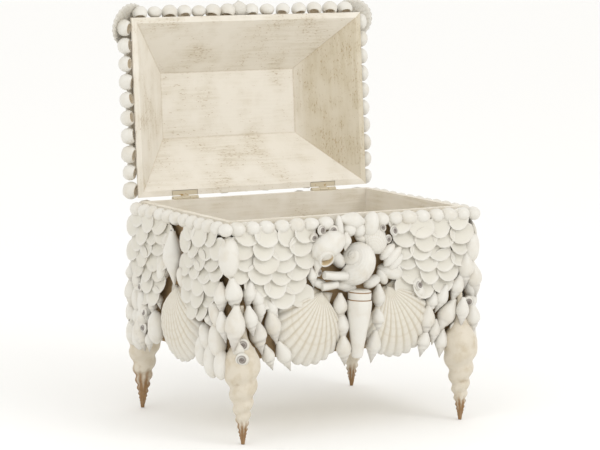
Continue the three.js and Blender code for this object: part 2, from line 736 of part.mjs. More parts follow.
// Rim shells. The front's row leaves room for the bow, and the back's lies below the hinges.
const BEAD_LIFT = BEAD_RADIUS * Math.cos(Math.PI / BEAD_SIDES) + BACK;
const sideBeadEnd = HALF_DEPTH + 2 * BEAD_LIFT;
const onRim = (geometry, drop = BEAD_RADIUS) => geometry.translate(0, -drop, BEAD_LIFT);
piece("rim_shells_front_left", "chest", whiteShell, onRim(beadsBetween(-HALF_WIDTH, -BOW_HALF)), FRONT);
piece("rim_shells_front_right", "chest", whiteShell, onRim(beadsBetween(BOW_HALF, HALF_WIDTH)), FRONT);
piece("rim_shells_left", "chest", whiteShell, onRim(beadsBetween(-HALF_DEPTH, sideBeadEnd)), LEFT);
piece("rim_shells_right", "chest", whiteShell, onRim(beadsBetween(-sideBeadEnd, HALF_DEPTH)), RIGHT);
const backDrop = BEAD_RADIUS + KNUCKLE_RADIUS;
const backBeads = beadsBetween(-HALF_WIDTH, HALF_WIDTH, 1.25 * BEAD_PITCH);
piece("rim_shells_back", "chest", whiteShell, onRim(backBeads, backDrop), REAR);
piece("rim_bow", "chest", whiteShell, rimBow(), FRONT);

// The swags of cup shells.
const WIDE_SWAG = { cups: 4, rows: 5 };
const TALL_SWAG = { cups: 3, rows: 6 };
const PLAIN_SWAG = { cups: 3, rows: 3 };
const wideCentre = HALF_WIDTH - 1.95 * CUP_WIDTH;
const tallCentre = HALF_DEPTH - 1.75 * CUP_WIDTH;
for (const [wall, frame, centre, form] of [
  ["front", FRONT, wideCentre, WIDE_SWAG],
  ["left", LEFT, tallCentre, TALL_SWAG],
  ["right", RIGHT, tallCentre, TALL_SWAG],
  ["back", REAR, wideCentre, PLAIN_SWAG],
]) {
  for (const [side, place] of [[-1, "left"], [1, "right"]]) {
    const shells = swag({ ...form, centre: side * centre, lean: -side * 0.37 * CUP_WIDTH });
    piece(`swag_${wall}_${place}`, "chest", whiteShell, shells, frame);
  }
}

// The conch, fan and finger-ribbed shells round the moon snail, and two pieces of tusk shell.
// Their places are counted from the snail's middle, in shares of its radius.
const besideSnail = (geometry, along, up, lift) =>
  geometry.translate(
    CONE_ALONG + along * MOON_SNAIL_RADIUS,
    -MOON_SNAIL_DROP + up * MOON_SNAIL_RADIUS,
    lift * MOON_SNAIL_RADIUS,
  );
piece(
  "conch_front",
  "chest",
  whiteShell,
  besideSnail(
    conch(FRONT_CONCH_LENGTH, FRONT_CONCH_RADIUS).rotateZ(-62 * DEGREE),
    -1.61,
    0.7,
    0.44,
  ),
  FRONT,
);
piece(
  "fan_shell_front",
  "chest",
  ribbedShell,
  besideSnail(
    scallop({ size: FAN_SIZE, rise: 0.3 * FAN_SIZE, ribs: 5, spread: 50 }).rotateZ(140 * DEGREE),
    0.43,
    0.48,
    0.22,
  ),
  FRONT,
);
piece(
  "finger_shell_front",
  "chest",
  ribbedShell,
  besideSnail(
    scallop({ size: FINGER_SIZE, rise: 0.27 * FINGER_SIZE, ribs: 4, spread: 34, ribHeight: 2.4 })
      .rotateZ(108 * DEGREE),
    0.7,
    -0.13,
    0.17,
  ),
  FRONT,
);
const tuskPiece = (share, turn) =>
  new THREE.BoxGeometry(share * TUSK_LENGTH, share ** 0.2 * TUSK_WIDTH, 0.9 * TUSK_WIDTH).rotateZ(turn);
piece(
  "tusk_pieces_front",
  "chest",
  whiteShell,
  join([
    besideSnail(tuskPiece(1, -0.06), -1.3, -0.39, 0.39),
    besideSnail(tuskPiece(0.6, 0.08), -1.48, -0.76, 0.35),
  ]),
  FRONT,
);

// Scallops below the swags, and the conches between the swags of the two sides.
const fullScallop = () =>
  scallop({ size: SCALLOP_SIZE, rise: SCALLOP_RISE, ribs: SCALLOP_RIBS });
const scallopAt = (along, turn) =>
  fullScallop().scale(0.88, 1, 1).rotateZ(turn * DEGREE).translate(along, -SCALLOP_UMBO_DROP, BACK);
const scallopOut = 0.53 * SCALLOP_SIZE;
piece("scallop_front_left", "chest", ribbedShell, scallopAt(CONE_ALONG - scallopOut, -22), FRONT);
piece("scallop_front_right", "chest", ribbedShell, scallopAt(CONE_ALONG + scallopOut, 24), FRONT);
piece("scallop_left", "chest", ribbedShell, scallopAt(0, 8), LEFT);
piece("scallop_right", "chest", ribbedShell, scallopAt(0, -8), RIGHT);
piece("scallop_back", "chest", ribbedShell, scallopAt(0, 0), REAR);
piece("whelk_string_left", "chest", whiteShell, frontString(-1, 5), FRONT);
piece("whelk_string_right", "chest", whiteShell, frontString(1, -2), FRONT);
for (const [wall, frame, side] of [["left", LEFT, 1], ["right", RIGHT, -1]]) {
  const shell = conch(SIDE_CONCH_LENGTH, SIDE_CONCH_RADIUS)
    .rotateZ(side * 4 * DEGREE)
    .translate(-side * GLUE, -SIDE_CONCH_DROP, WHELK_LIFT);
  piece(`conch_${wall}`, "chest", whiteShell, shell, frame);
}

piece("corner_whelks_front_left", "chest", whiteShell, cornerWhelks(FRONT, LEFT, false));
piece("corner_whelks_front_right", "chest", whiteShell, cornerWhelks(FRONT, RIGHT, true));
piece("corner_whelks_back_left", "chest", whiteShell, cornerWhelks(REAR, LEFT, true));
piece("corner_whelks_back_right", "chest", whiteShell, cornerWhelks(REAR, RIGHT, false));

// The shells on the lid.
const LID_BEAD_OUT = BEAD_LIFT; // a rim shell's centre outside the lid's edge
const CENTRE_SHELL_HALF = 12;
const CORNER_SHELL_ROOM = 8;
const lidEnd = HALF_WIDTH + LID_BEAD_OUT - CORNER_SHELL_ROOM;
const lidBeads = (half, from, to, turn) =>
  beadsBetween(from, to)
    .translate(0, -half - LID_BEAD_OUT, BEAD_RADIUS + GAP)
    .rotateZ(turn);
for (const [name, half, from, to, turn] of [
  ["front_left", HALF_DEPTH, -lidEnd, -CENTRE_SHELL_HALF, 0],
  ["front_right", HALF_DEPTH, CENTRE_SHELL_HALF, lidEnd, 0],
  ["left", HALF_WIDTH, -HALF_DEPTH + LID_BEAD_OUT, HALF_DEPTH, -Math.PI / 2],
  ["right", HALF_WIDTH, -HALF_DEPTH, HALF_DEPTH - LID_BEAD_OUT, Math.PI / 2],
]) {
  lidPiece(`lid_rim_shells_${name}`, whiteShell, lidBeads(half, from, to, turn));
}

const cockle = (size, rise) =>
  scallop({ size, rise, ribs: 6, spread: 66, ribHeight: 0.9 });
for (const [side, place] of [[-1, "left"], [1, "right"]]) {
  const half = CORNER_COCKLE_SIZE / 2;
  const shell = cockle(2 * half, 0.64 * half)
    .translate(0, half, 0)
    .rotateX(38 * DEGREE)
    .rotateZ(side * 45 * DEGREE)
    .translate(side * (HALF_WIDTH - GLUE), -HALF_DEPTH + GLUE, half);
  lidPiece(`lid_corner_cockle_${place}`, ribbedShell, shell);
}
lidPiece(
  "lid_centre_cockle",
  ribbedShell,
  cockle(CENTRE_COCKLE_SIZE, 0.42 * CENTRE_COCKLE_SIZE).translate(0, CENTRE_COCKLE_SIZE - GLUE / 2, 0),
  SLOPES.front,
);

const SLANT = LID_RISE / Math.sin(SLOPE_Y);
const FIRST_LID_EDGE = 17;
lidPiece(
  "lid_scallop_front",
  ribbedShell,
  scallop({ size: LID_SCALLOP_SIZE, rise: LID_SCALLOP_RISE, ribs: 6 }).translate(0, SLANT - GLUE, 0),
  SLOPES.front,
);
for (const [side, place] of [[-1, "left"], [1, "right"]]) {
  const rows = [0, 1].map((row) => {
    const edge = FIRST_LID_EDGE + row * LIMPET_ROW_PITCH;
    const along = side * (2.45 - 0.3 * row) * LIMPET_WIDTH;
    return cupRow(3 - row, along, edge, edge + LIMPET_LENGTH, LIMPET_WIDTH);
  });
  lidPiece(`lid_limpets_front_${place}`, whiteShell, abovePlane(join(rows)), SLOPES.front);
}
for (const [wall, half] of [["left", HALF_DEPTH], ["right", HALF_DEPTH], ["back", HALF_WIDTH]]) {
  const topHalf = wall === "back" ? TOP_HALF_WIDTH : TOP_HALF_DEPTH;
  const room = [2 * half - LIMPET_WIDTH / 2, 2 * topHalf - LIMPET_WIDTH / 4];
  const shells = tiledSlope(...room, SLANT, FIRST_LID_EDGE);
  lidPiece(`lid_limpets_${wall}`, whiteShell, shells, SLOPES[wall]);
}
lidPiece(
  "lid_top_snail",
  whiteShell,
  moonSnail(LID_SNAIL_RADIUS).scale(1, 1, 0.7).translate(0, 0, LID_RISE + 0.85 * LID_SNAIL_RADIUS),
);
for (const [side, place] of [[-1, "left"], [1, "right"]]) {
  const shell = scallop({ size: LID_SCALLOP_SIZE, rise: LID_SCALLOP_RISE, ribs: 6 })
    .rotateZ(side * 90 * DEGREE)
    .translate(side * (LID_SNAIL_RADIUS + 2 * GAP), 0, LID_RISE + BACK);
  lidPiece(`lid_top_scallop_${place}`, ribbedShell, shell);
}

// Each piece keeps clear of the ones before it in the same body.
for (const [index, mine] of pieces.entries()) {
  mine.geometry.computeBoundingBox();
  const before = pieces.slice(0, index).filter((other) => other.body === mine.body);
  let solid = null;
  for (const other of before) {
    const near = other.geometry.boundingBox.clone().expandByScalar(GAP);
    if (!near.intersectsBox(mine.geometry.boundingBox)) continue;
    solid = (solid ?? toSolid(mine.geometry))
      .subtract(toSolid(grown(other.geometry, GAP)))
      .subtract(toSolid(other.geometry));
  }
  if (!solid) continue;
  mine.geometry = toGeometry(largestBody(solid));
  mine.geometry.computeBoundingBox();
}

const groups = { chest: new THREE.Group(), lid: new THREE.Group() };
for (const { name, body, material, geometry } of pieces) {
  const mesh = new THREE.Mesh(geometry.toNonIndexed(), material);
  mesh.geometry.computeVertexNormals();
  mesh.name = name;
  groups[body].add(mesh);
}

// The lid turns back about the hinge pins.
const lidTurn = new THREE.Group();
lidTurn.position.copy(hingeAxis);
lidTurn.rotation.x = -LID_ANGLE * DEGREE;
groups.lid.position.copy(hingeAxis).negate();
lidTurn.add(groups.lid);

// The frame's origin is the middle of the table that the object covers.
const shellBox = new THREE.Group();
shellBox.add(groups.chest, lidTurn);
shellBox.updateMatrixWorld(true);
const extent = new THREE.Box3().setFromObject(shellBox, true);
shellBox.position.set(
  -(extent.min.x + extent.max.x) / 2,
  -(extent.min.y + extent.max.y) / 2,
  RIM_HEIGHT,
);

export default shellBox;
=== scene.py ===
"""A wooden keepsake box covered with sea shells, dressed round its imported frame.

The chest, the lid and the hinges keep their own solids and get a finish. Every shell is modelled
here: coiled shells as tubes swept along a spiral, scallops as ribbed fans, and cup shells as
dishes. Geometry Nodes set the small ones in rows, swags and clusters on the walls.
"""

import json
import math

import bmesh
import bpy
import numpy as np
from bpy.props import FloatProperty, FloatVectorProperty, IntProperty, PointerProperty
from mathutils import Matrix, Vector

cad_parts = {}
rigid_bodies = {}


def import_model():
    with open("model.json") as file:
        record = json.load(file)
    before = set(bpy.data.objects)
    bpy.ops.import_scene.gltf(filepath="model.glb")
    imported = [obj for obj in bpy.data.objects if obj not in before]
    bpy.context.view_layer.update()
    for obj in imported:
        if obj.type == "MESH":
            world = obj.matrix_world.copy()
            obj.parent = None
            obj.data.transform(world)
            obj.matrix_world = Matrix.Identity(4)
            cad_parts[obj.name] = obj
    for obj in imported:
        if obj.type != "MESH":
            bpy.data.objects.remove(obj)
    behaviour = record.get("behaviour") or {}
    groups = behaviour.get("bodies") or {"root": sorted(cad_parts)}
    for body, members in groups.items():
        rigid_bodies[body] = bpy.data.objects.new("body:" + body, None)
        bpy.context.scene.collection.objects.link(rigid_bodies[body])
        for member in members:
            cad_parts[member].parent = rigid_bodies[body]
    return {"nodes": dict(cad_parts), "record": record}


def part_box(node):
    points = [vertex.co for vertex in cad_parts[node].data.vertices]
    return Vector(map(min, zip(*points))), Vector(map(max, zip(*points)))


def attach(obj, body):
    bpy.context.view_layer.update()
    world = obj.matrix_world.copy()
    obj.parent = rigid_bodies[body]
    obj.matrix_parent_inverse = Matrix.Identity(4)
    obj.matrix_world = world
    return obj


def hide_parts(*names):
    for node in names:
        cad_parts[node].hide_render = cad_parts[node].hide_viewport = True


bl_info = {
    "name": "Shell box",
    "version": (1, 0, 0),
    "blender": (4, 5, 0),
    "location": "3D View > Sidebar > Shell box",
    "description": "Models the shells of a keepsake box and finishes its wood",
    "category": "Object",
}

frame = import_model()

MM = 0.001
DEGREE = math.pi / 180
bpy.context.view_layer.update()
CHEST_LOW, CHEST_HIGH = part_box("box_body")
HINGE = next(j for j in frame["record"]["behaviour"]["joints"] if j["name"] == "lid_hinge")
HINGE_POINT = Vector(HINGE["pos_m"])
LID_TURN = HINGE["range_deg"][1] * DEGREE  # from open, as at rest, to closed

# The wood's sizes, in millimetres.
HALF_WIDTH = (CHEST_HIGH.x - CHEST_LOW.x) / 2 / MM
HALF_DEPTH = (CHEST_HIGH.y - CHEST_LOW.y) / 2 / MM
CHEST_HEIGHT = (CHEST_HIGH.z - CHEST_LOW.z) / MM
CENTRE_Y = (CHEST_HIGH.y + CHEST_LOW.y) / 2
RIM_Z = CHEST_HIGH.z
LID_GAP = 1.0  # between the two rims when the lid is closed
LID_RIM = 6.0  # the lid's flat edge
LID_HOLLOW = 51.0  # depth of its hollow
LID_BOARD = 6.0
PANEL_HALF_WIDTH = 82.0
PANEL_HALF_DEPTH = 35.0
SLOPE_X = math.atan2(LID_HOLLOW, HALF_WIDTH - LID_RIM - PANEL_HALF_WIDTH)
SLOPE_Y = math.atan2(LID_HOLLOW, HALF_DEPTH - LID_RIM - PANEL_HALF_DEPTH)
LID_RISE = LID_HOLLOW + LID_BOARD


def size_mm(name, description, value):
    """A length that a user may change, given here in millimetres."""
    return FloatProperty(
        name=name, description=description, default=value * MM, min=0, unit="LENGTH", subtype="DISTANCE"
    )


def linear(hex_colour):
    """An sRGB hex colour as linear red, green, blue and alpha."""
    channels = [int(hex_colour[i : i + 2], 16) / 255 for i in (1, 3, 5)]
    return [c / 12.92 if c <= 0.04045 else ((c + 0.055) / 1.055) ** 2.4 for c in channels] + [1.0]


def colour(name, description, hex_colour):
    return FloatVectorProperty(
        name=name,
        description=description,
        default=linear(hex_colour),
        size=4,
        min=0,
        max=1,
        subtype="COLOR",
    )


def angle_degrees(name, description, degrees, **limits):
    return FloatProperty(
        name=name,
        description=description,
        default=degrees * DEGREE,
        unit="ROTATION",
        subtype="ANGLE",
        **limits,
    )


class ShellSizes(bpy.types.PropertyGroup):
    """Sizes of the shells."""

    bead_width: size_mm("Rim shell width", "Width of a round rim shell, along the rim", 18.5)
    bead_height: size_mm("Rim shell height", "Height of a round rim shell", 14.6)
    bead_pitch: size_mm("Rim shell pitch", "Distance between two rim shells", 16.6)
    cup_width: size_mm("Cup shell width", "Width of a cup shell in the swags", 28.5)
    cup_length: size_mm("Cup shell length", "Length of a cup shell in the swags", 24.0)
    cup_pitch: size_mm("Cup shell row pitch", "Distance between two rows of cup shells", 12.4)
    whelk_length: size_mm("Whelk length", "Length of a whelk in the corner clusters", 32.0)
    scallop_size: size_mm("Scallop size", "Height of a large scallop", 77.0)
    leg_length: size_mm("Leg length", "Length of a spindle shell that serves as a leg", 139.0)
    leg_radius: size_mm("Leg radius", "Largest radius of a leg", 18.4)
    moon_snail_width: size_mm("Moon snail width", "Width of the moon snail on the front", 48.0)
    cone_length: size_mm("Cone shell length", "Length of the cone shell under the moon snail", 70.0)
    cone_width: size_mm("Cone shell width", "Width of the cone shell at its shoulder", 26.0)
    turn_spread: angle_degrees("Turn spread", "How unevenly the small shells are turned", 7, min=0)
    size_spread: FloatProperty(
        name="Size spread",
        description="How much the small shells differ in size, as a share",
        default=0.06,
        min=0,
        max=0.5,
    )
    seed: IntProperty(name="Seed", description="Seed of the small shells' differences", default=7)


class ShellColours(bpy.types.PropertyGroup):
    """Colours of the shells, the wood and the metal."""

    white: colour("White shell", "Outer side of the bleached shells", "#DCD9D1")
    warm: colour("Warm shade", "Stains and shade on the bleached shells", "#CEC6B6")
    # the cup shells' inner tone, partly their own colour and partly painted shade in the dish
    hollow: colour("Hollow side", "Inside of the cup shells", "#D6D2C6")
    mouth: colour("Mouth", "Inside of a coiled shell's mouth", "#CDB893")
    # besides the real colour of the tips and the small snails' spirals, also laid as painted shade in the
    # whelks' seams
    spire: colour("Spire tip", "Tips and seams of the whelks and the small round snails", "#70665F")
    scallop: colour("Scallop", "Crests of a scallop's ribs", "#D8D3C7")
    # painted shade in the grooves between the ribs, and the real tan of the growth bands and the hollow side
    scallop_groove_shade_and_tan: colour("Scallop groove", "Grooves between a scallop's ribs", "#C3B8A2")
    leg: colour("Leg shell", "Spindle shells", "#D2C9B8")
    leg_dark: colour("Leg shell bands", "Grooves and old layers of the spindle shells", "#B8A889")
    leg_tip: colour("Leg tip", "Worn tips of the spindle shells", "#85602F")
    paint: colour("Paint", "Limewash on the boards", "#E4DED2")
    # also laid over the lid's whole right board as painted shade
    paint_dark: colour("Worn paint", "Paint that has worn thin", "#C6BBA3")
    wood: colour("Bare wood", "Wood where the paint is gone and outside", "#B89B73")
    brass: colour("Brass", "Hinges", "#A5834A")
    floor: colour("Floor", "Floor of the stage", "#FBFBFA")


class StageSettings(bpy.types.PropertyGroup):
    """Camera and light."""

    camera_place: FloatVectorProperty(
        name="Camera place",
        description="Where the camera stands",
        default=(-1.4675, -2.4971, 0.5749),
        size=3,
        unit="LENGTH",
        subtype="TRANSLATION",
    )
    camera_azimuth: angle_degrees(
        "Camera azimuth", "Turn of the view from straight ahead to the right", 30.689
    )
    camera_elevation: angle_degrees("Camera elevation", "How far the camera looks up or down", -7.4425)
    camera_roll: angle_degrees("Camera roll", "Turn of the camera about its view", 0.394)
    camera_lens: FloatProperty(
        name="Camera lens",
        description="Focal length on a 36 mm wide sensor",
        default=166.76,
        min=1,
        subtype="DISTANCE_CAMERA",
    )
    key_power: FloatProperty(
        name="Key light", description="Power of the large light", default=13.0, min=0, unit="POWER"
    )
    fill_power: FloatProperty(
        name="Fill light", description="Power of the second light", default=6.0, min=0, unit="POWER"
    )
    sky: FloatProperty(name="Sky light", description="Strength of the even light", default=1.02, min=0)


# Frames. X runs along a wall as seen from outside, Y up and Z out of it, in millimetres.


def frame_from(x_axis, y_axis, z_axis, origin):
    axes = Matrix((x_axis, y_axis, z_axis)).transposed().to_4x4()
    return Matrix.Translation(Vector(origin)) @ axes @ Matrix.Scale(MM, 4)


def wall_frame(x_axis, out, half):
    """A chest wall's frame, with its origin in the middle of the wall's upper edge."""
    out = Vector(out)
    origin = Vector((0, CENTRE_Y, RIM_Z)) + out * half * MM
    return frame_from(x_axis, (0, 0, 1), out, origin)


WALLS = {
    "front": wall_frame((1, 0, 0), (0, -1, 0), HALF_DEPTH),
    "left": wall_frame((0, -1, 0), (-1, 0, 0), HALF_WIDTH),
    "right": wall_frame((0, 1, 0), (1, 0, 0), HALF_WIDTH),
    "back": wall_frame((-1, 0, 0), (0, 1, 0), HALF_DEPTH),
}
WALL_HALF = {"front": HALF_WIDTH, "left": HALF_DEPTH, "right": HALF_DEPTH, "back": HALF_WIDTH}

# The lid's pieces are placed as on the closed lid, and turned back with it.
LID_OPENED = (
    Matrix.Translation(HINGE_POINT)
    @ Matrix.Rotation(-LID_TURN, 4, "X")
    @ Matrix.Translation(-HINGE_POINT)
)
LID_PLACE = (
    LID_OPENED @ Matrix.Translation((0, CENTRE_Y, RIM_Z + LID_GAP * MM)) @ Matrix.Scale(MM, 4)
)


def outer_half(half, slope, height):
    """Half of the lid's outer width at a height above its rim."""
    return half - LID_RIM + LID_BOARD / math.sin(slope) - height / math.tan(slope)


QUARTER = math.pi / 2


def lid_frame(turn, half, slope=None):
    """A frame on the closed lid: along an edge, or on a sloping board if a slope is given."""
    local = LID_PLACE @ Matrix.Rotation(turn, 4, "Z")
    if slope is None:
        return local @ Matrix.Translation((0, -half, 0)) @ Matrix.Rotation(QUARTER, 4, "X")
    return local @ Matrix.Translation((0, -outer_half(half, slope, 0), 0)) @ Matrix.Rotation(slope, 4, "X")


LID_EDGES = {
    "front": lid_frame(0, HALF_DEPTH),
    "left": lid_frame(-QUARTER, HALF_WIDTH),
    "right": lid_frame(QUARTER, HALF_WIDTH),
}
LID_SLOPES = {
    "front": lid_frame(0, HALF_DEPTH, SLOPE_Y),
    "left": lid_frame(-QUARTER, HALF_WIDTH, SLOPE_X),
    "right": lid_frame(QUARTER, HALF_WIDTH, SLOPE_X),
    "back": lid_frame(math.pi, HALF_DEPTH, SLOPE_Y),
}
LID_TOP = LID_PLACE @ Matrix.Translation((0, 0, LID_RISE))


# Meshes.


def grid_mesh(name, points, hollow, caps=True):
    """A mesh through closed rows of points. The UV map runs round a row and along the rows.

    hollow is 0 on a shell's outer side and 1 deep inside it or where it is stained, one value a
    row or a point. It also carries painted shade, in the seams and in the cup shells' dishes.
    """
    points = np.asarray(points, float)
    rows, columns = points.shape[:2]
    hollow = np.broadcast_to(np.asarray(hollow, float).reshape(rows, -1), (rows, columns))
    vertices = points.reshape(-1, 3).tolist()
    values = hollow.reshape(-1).tolist()
    faces, corners = [], []
    for row in range(rows - 1):
        for column in range(columns):
            beside = (column + 1) % columns
            here, above = row * columns, (row + 1) * columns
            faces.append((here + column, here + beside, above + beside, above + column))
            left, right = column / columns, (column + 1) / columns
            corners += [(left, row), (right, row), (right, row + 1), (left, row + 1)]
    for end in (0, rows - 1) if caps else ():
        pole = len(vertices)
        vertices.append(points[end].mean(axis=0).tolist())
        values.append(values[end * columns])
        for column in range(columns):
            ring = [end * columns + (column + 1) % columns, end * columns + column]
            faces.append((*(ring if end == 0 else ring[::-1]), pole))
            corners += [(column / columns, end)] * 3
    mesh = bpy.data.meshes.new(name)
    mesh.from_pydata(vertices, [], faces)
    uv = mesh.uv_layers.new(name="growth")
    uv.data.foreach_set("uv", np.asarray(corners, np.float32).reshape(-1))
    attribute = mesh.attributes.new("hollow", "FLOAT", "POINT")
    attribute.data.foreach_set("value", np.asarray(values, np.float32))
    mesh.shade_smooth()
    return mesh


def tidy_mesh(mesh, distance=0.02):
    """Merges doubled points and makes all faces of a closed mesh point outwards."""
    work = bmesh.new()
    work.from_mesh(mesh)
    bmesh.ops.remove_doubles(work, verts=work.verts, dist=distance)
    bmesh.ops.recalc_face_normals(work, faces=work.faces)
    work.to_mesh(mesh)
    work.free()
    mesh.shade_smooth()
    return mesh


def coil_mesh(name, width, rise, section, steps, columns, cords, turns=4, growth=2.7, mouth=0.28, lip=0.05):
    """A coiled shell: an oval tube swept along a growing spiral, hanging with its spire down.

    growth is how much wider each whorl is than the one before, rise how far the whorls climb
    along the axis, and section the tube's half width and its half heights towards the spire and
    away from it. steps is the number of rings in a turn. cords run along the whorls, a count and
    a depth.
    """
    across, towards, away = section
    around = np.linspace(0, 2 * np.pi, columns, endpoint=False)
    cord = 1 + cords[1] * np.cos(cords[0] * around)
    tall = np.where(np.sin(around) > 0, towards, away)

    def ring(turn, shrink=1.0):
        angle = 2 * np.pi * (turn - turns) + np.pi
        out = 1 + across * np.cos(around) * cord * shrink
        up = -rise + tall * np.sin(around) * cord * shrink
        return growth ** (turn - turns) * np.stack([out * np.cos(angle), -up, -out * np.sin(angle)], axis=1)

    rows = [ring(turn) for turn in np.linspace(0.0, turns, turns * steps + 1)]
    hollow = [0.0] * len(rows)
    for inward, shrink in ((0.0, 1 - lip), (0.03, 1 - 2.2 * lip), (0.1, 0.8), (mouth, 0.7)):
        rows.append(ring(turns - inward, shrink))
        hollow.append(0.35 if inward == 0 else 1.0)
    points = np.array(rows)[:, ::-1]
    low, high = points.reshape(-1, 3).min(axis=0), points.reshape(-1, 3).max(axis=0)
    return grid_mesh(name, (points - (low + high) / 2) * width / (high - low)[0], hollow)


def smooth_curve(points, at):
    """The curve through some points, rounded off, read at the given places from 0 to 1."""
    fine = np.linspace(-0.1, 1.1, 241)
    rounded = np.convolve(np.interp(fine, *zip(*points)), np.ones(11) / 11, "same")
    return np.interp(at, fine, rounded)


def spire_mesh(
    name,
    length,
    radius,
    profile,
    top=0.5,
    ratio=0.66,
    groove=0.12,
    ribs=(0, 0.0, 1.0),
    stain=(0.0, 0.3, 0.0),
    sides=12,
    rows=17,
):
    """A slender coiled shell with its spire down, its seam wound round it, in one closed skin.

    profile gives the radius at heights above the spire's tip, both as shares. top is the height
    of the highest seam, and ratio how much lower the seam is one whorl on. ribs are a count, a
    depth and the height where they fade out, and stain the worn tip's stain, the height where it
    ends and the painted shade laid along the seam.
    """
    share = np.linspace(0, 1, rows)[:, None]
    angle = np.linspace(0, 2 * np.pi, sides, endpoint=False)[None]
    winding = np.log(np.maximum(share, 0.04) / top) / math.log(ratio)
    seam = 0.5 + 0.5 * np.cos(2 * np.pi * (winding + angle / (2 * np.pi)))
    seam = seam**1.5 * np.clip(5 - 4 * share / top, 0, 1)
    dip = groove * seam
    rib = ribs[1] * np.clip(1.2 * (1 - share / ribs[2]), 0, 1) * np.cos(ribs[0] * angle)
    rib *= 1 - 0.8 * seam
    r = radius * smooth_curve(profile, share) * (1 - dip + rib)
    height = np.broadcast_to((share - 0.5) * length, r.shape)
    points = np.stack([r * np.cos(angle), height, -r * np.sin(angle)], axis=2)
    valley = 0.75 - 0.25 * np.cos(ribs[0] * angle) if ribs[0] else 1.0
    worn = stain[0] * np.clip(1.3 * (1 - share / stain[1]), 0, 1) * valley
    # the seams' share is painted shade in the groove; the tip's share is a worn stain
    hollow = np.maximum(np.broadcast_to(worn, r.shape), stain[2] * seam**2)
    return grid_mesh(name, points, hollow)


# Profiles for spire_mesh.
WHELK = (
    (0, 0.05), (0.1, 0.22), (0.22, 0.46), (0.34, 0.72), (0.46, 0.97), (0.56, 1.0), (0.68, 0.9), (0.8, 0.66),
    (0.9, 0.42), (1, 0.26),
)
OLIVE = (
    (0, 0.1), (0.04, 0.4), (0.14, 0.72), (0.3, 0.94), (0.5, 1.0), (0.7, 0.93), (0.86, 0.7), (0.96, 0.4),
    (1, 0.15),
)
SPINDLE = (
    (0, 0.09), (0.04, 0.15), (0.137, 0.31), (0.194, 0.42), (0.28, 0.58), (0.388, 0.78), (0.47, 0.94),
    (0.55, 1.02), (0.62, 0.98), (0.68, 0.72), (0.76, 0.34), (0.9, 0.18), (1, 0.14),
)


def fan_mesh(name, size, rise, ribs, spread=57, rib_height=1.2, wall=1.6, ear=0.2, teeth=0.02, rows=15):
    """A ribbed fan shell hanging from its narrow end at the origin, its hollow side at Z = 0.

    spread is half its angle in degrees, ear its ears' length as a share of its size, and teeth
    how far the ribs reach past its edge.
    """
    lines = ribs * 8 + 1
    t = np.linspace(-1, 1, lines)
    ears = 3 if ear else 0
    s = np.linspace(0, 1, rows) ** 0.9
    crest = (0.5 + 0.5 * np.cos(2 * np.pi * ribs * (t + 1) / 2 + np.pi)) ** 0.5

    def sheet(inside):
        sheet_rows = []
        for share in s:
            angle = t * spread * DEGREE
            reach = size * share * np.cos(angle * 0.92) * (1 + teeth * (2 * crest - 1) * share**3)
            steps = 0.012 * size * rib_height * 0.2 * np.sin(share * 34)
            swell = 0.45 - share if share < 0.45 else share - 0.45
            dome = max(1 - (swell / 0.56) ** 2, 0) ** 0.7
            side = 1 - 0.45 * np.abs(t) ** 3
            height = rise * dome * side + rib_height * (crest - 0.5) * share**0.8 + steps * share
            height = height - wall * (1 if inside else 0)
            height = np.maximum(height, 0.0 if inside else wall * 0.6)
            row = np.stack([reach * np.sin(angle), -reach * np.cos(angle), height], axis=1)
            if ears:
                reach_out = ear * size * max(1 - share / 0.34, 0.0)
                grow = np.linspace(1, 0, ears + 1)[:-1, None]
                flat = np.array([1.0, 0.15, -0.35 * row[0, 2] / max(reach_out, 1)])
                left = row[0] + grow * reach_out * flat * [-1, 1, 1]
                right = row[-1] + grow[::-1] * reach_out * flat
                row = np.concatenate([left, row, right])
            sheet_rows.append(row)
        return np.array(sheet_rows)

    outer, inner = sheet(False), sheet(True)
    loop = np.concatenate([outer, inner[:, ::-1]], axis=1)
    columns = outer.shape[1]
    hollow = np.concatenate([np.zeros((rows, columns)), np.ones((rows, columns))], axis=1)
    mesh = grid_mesh(name, loop, hollow, caps=False)
    close_fan_edges(mesh, columns, rows)
    set_rib_map(mesh, columns, rows, ears, lines, ribs)
    return tidy_mesh(mesh, 0.01)


def close_fan_edges(mesh, columns, rows):
    """Closes the open edge of a fan between its outer and its hollow side, at both ends."""
    around = 2 * columns
    work = bmesh.new()
    work.from_mesh(mesh)
    work.verts.ensure_lookup_table()
    for row in (0, rows - 1):
        for column in range(columns - 1):
            across = (column, column + 1, around - 2 - column, around - 1 - column)
            corners = [work.verts[row * around + place] for place in across]
            if work.faces.get(corners) is None:
                work.faces.new(corners)
    work.to_mesh(mesh)
    work.free()


def set_rib_map(mesh, columns, rows, ears, lines, ribs):
    """The fan's UV map: X counts ribs across it and Y runs from its narrow end to its edge."""
    around = 2 * columns
    column = np.arange(around)
    column = np.where(column < columns, column, around - 1 - column)
    rib = (column - ears) / (lines - 1) * ribs
    layer = mesh.uv_layers["growth"].data
    for loop in mesh.loops:
        row, place = divmod(loop.vertex_index, around)
        layer[loop.index].uv = (rib[place], row / (rows - 1))


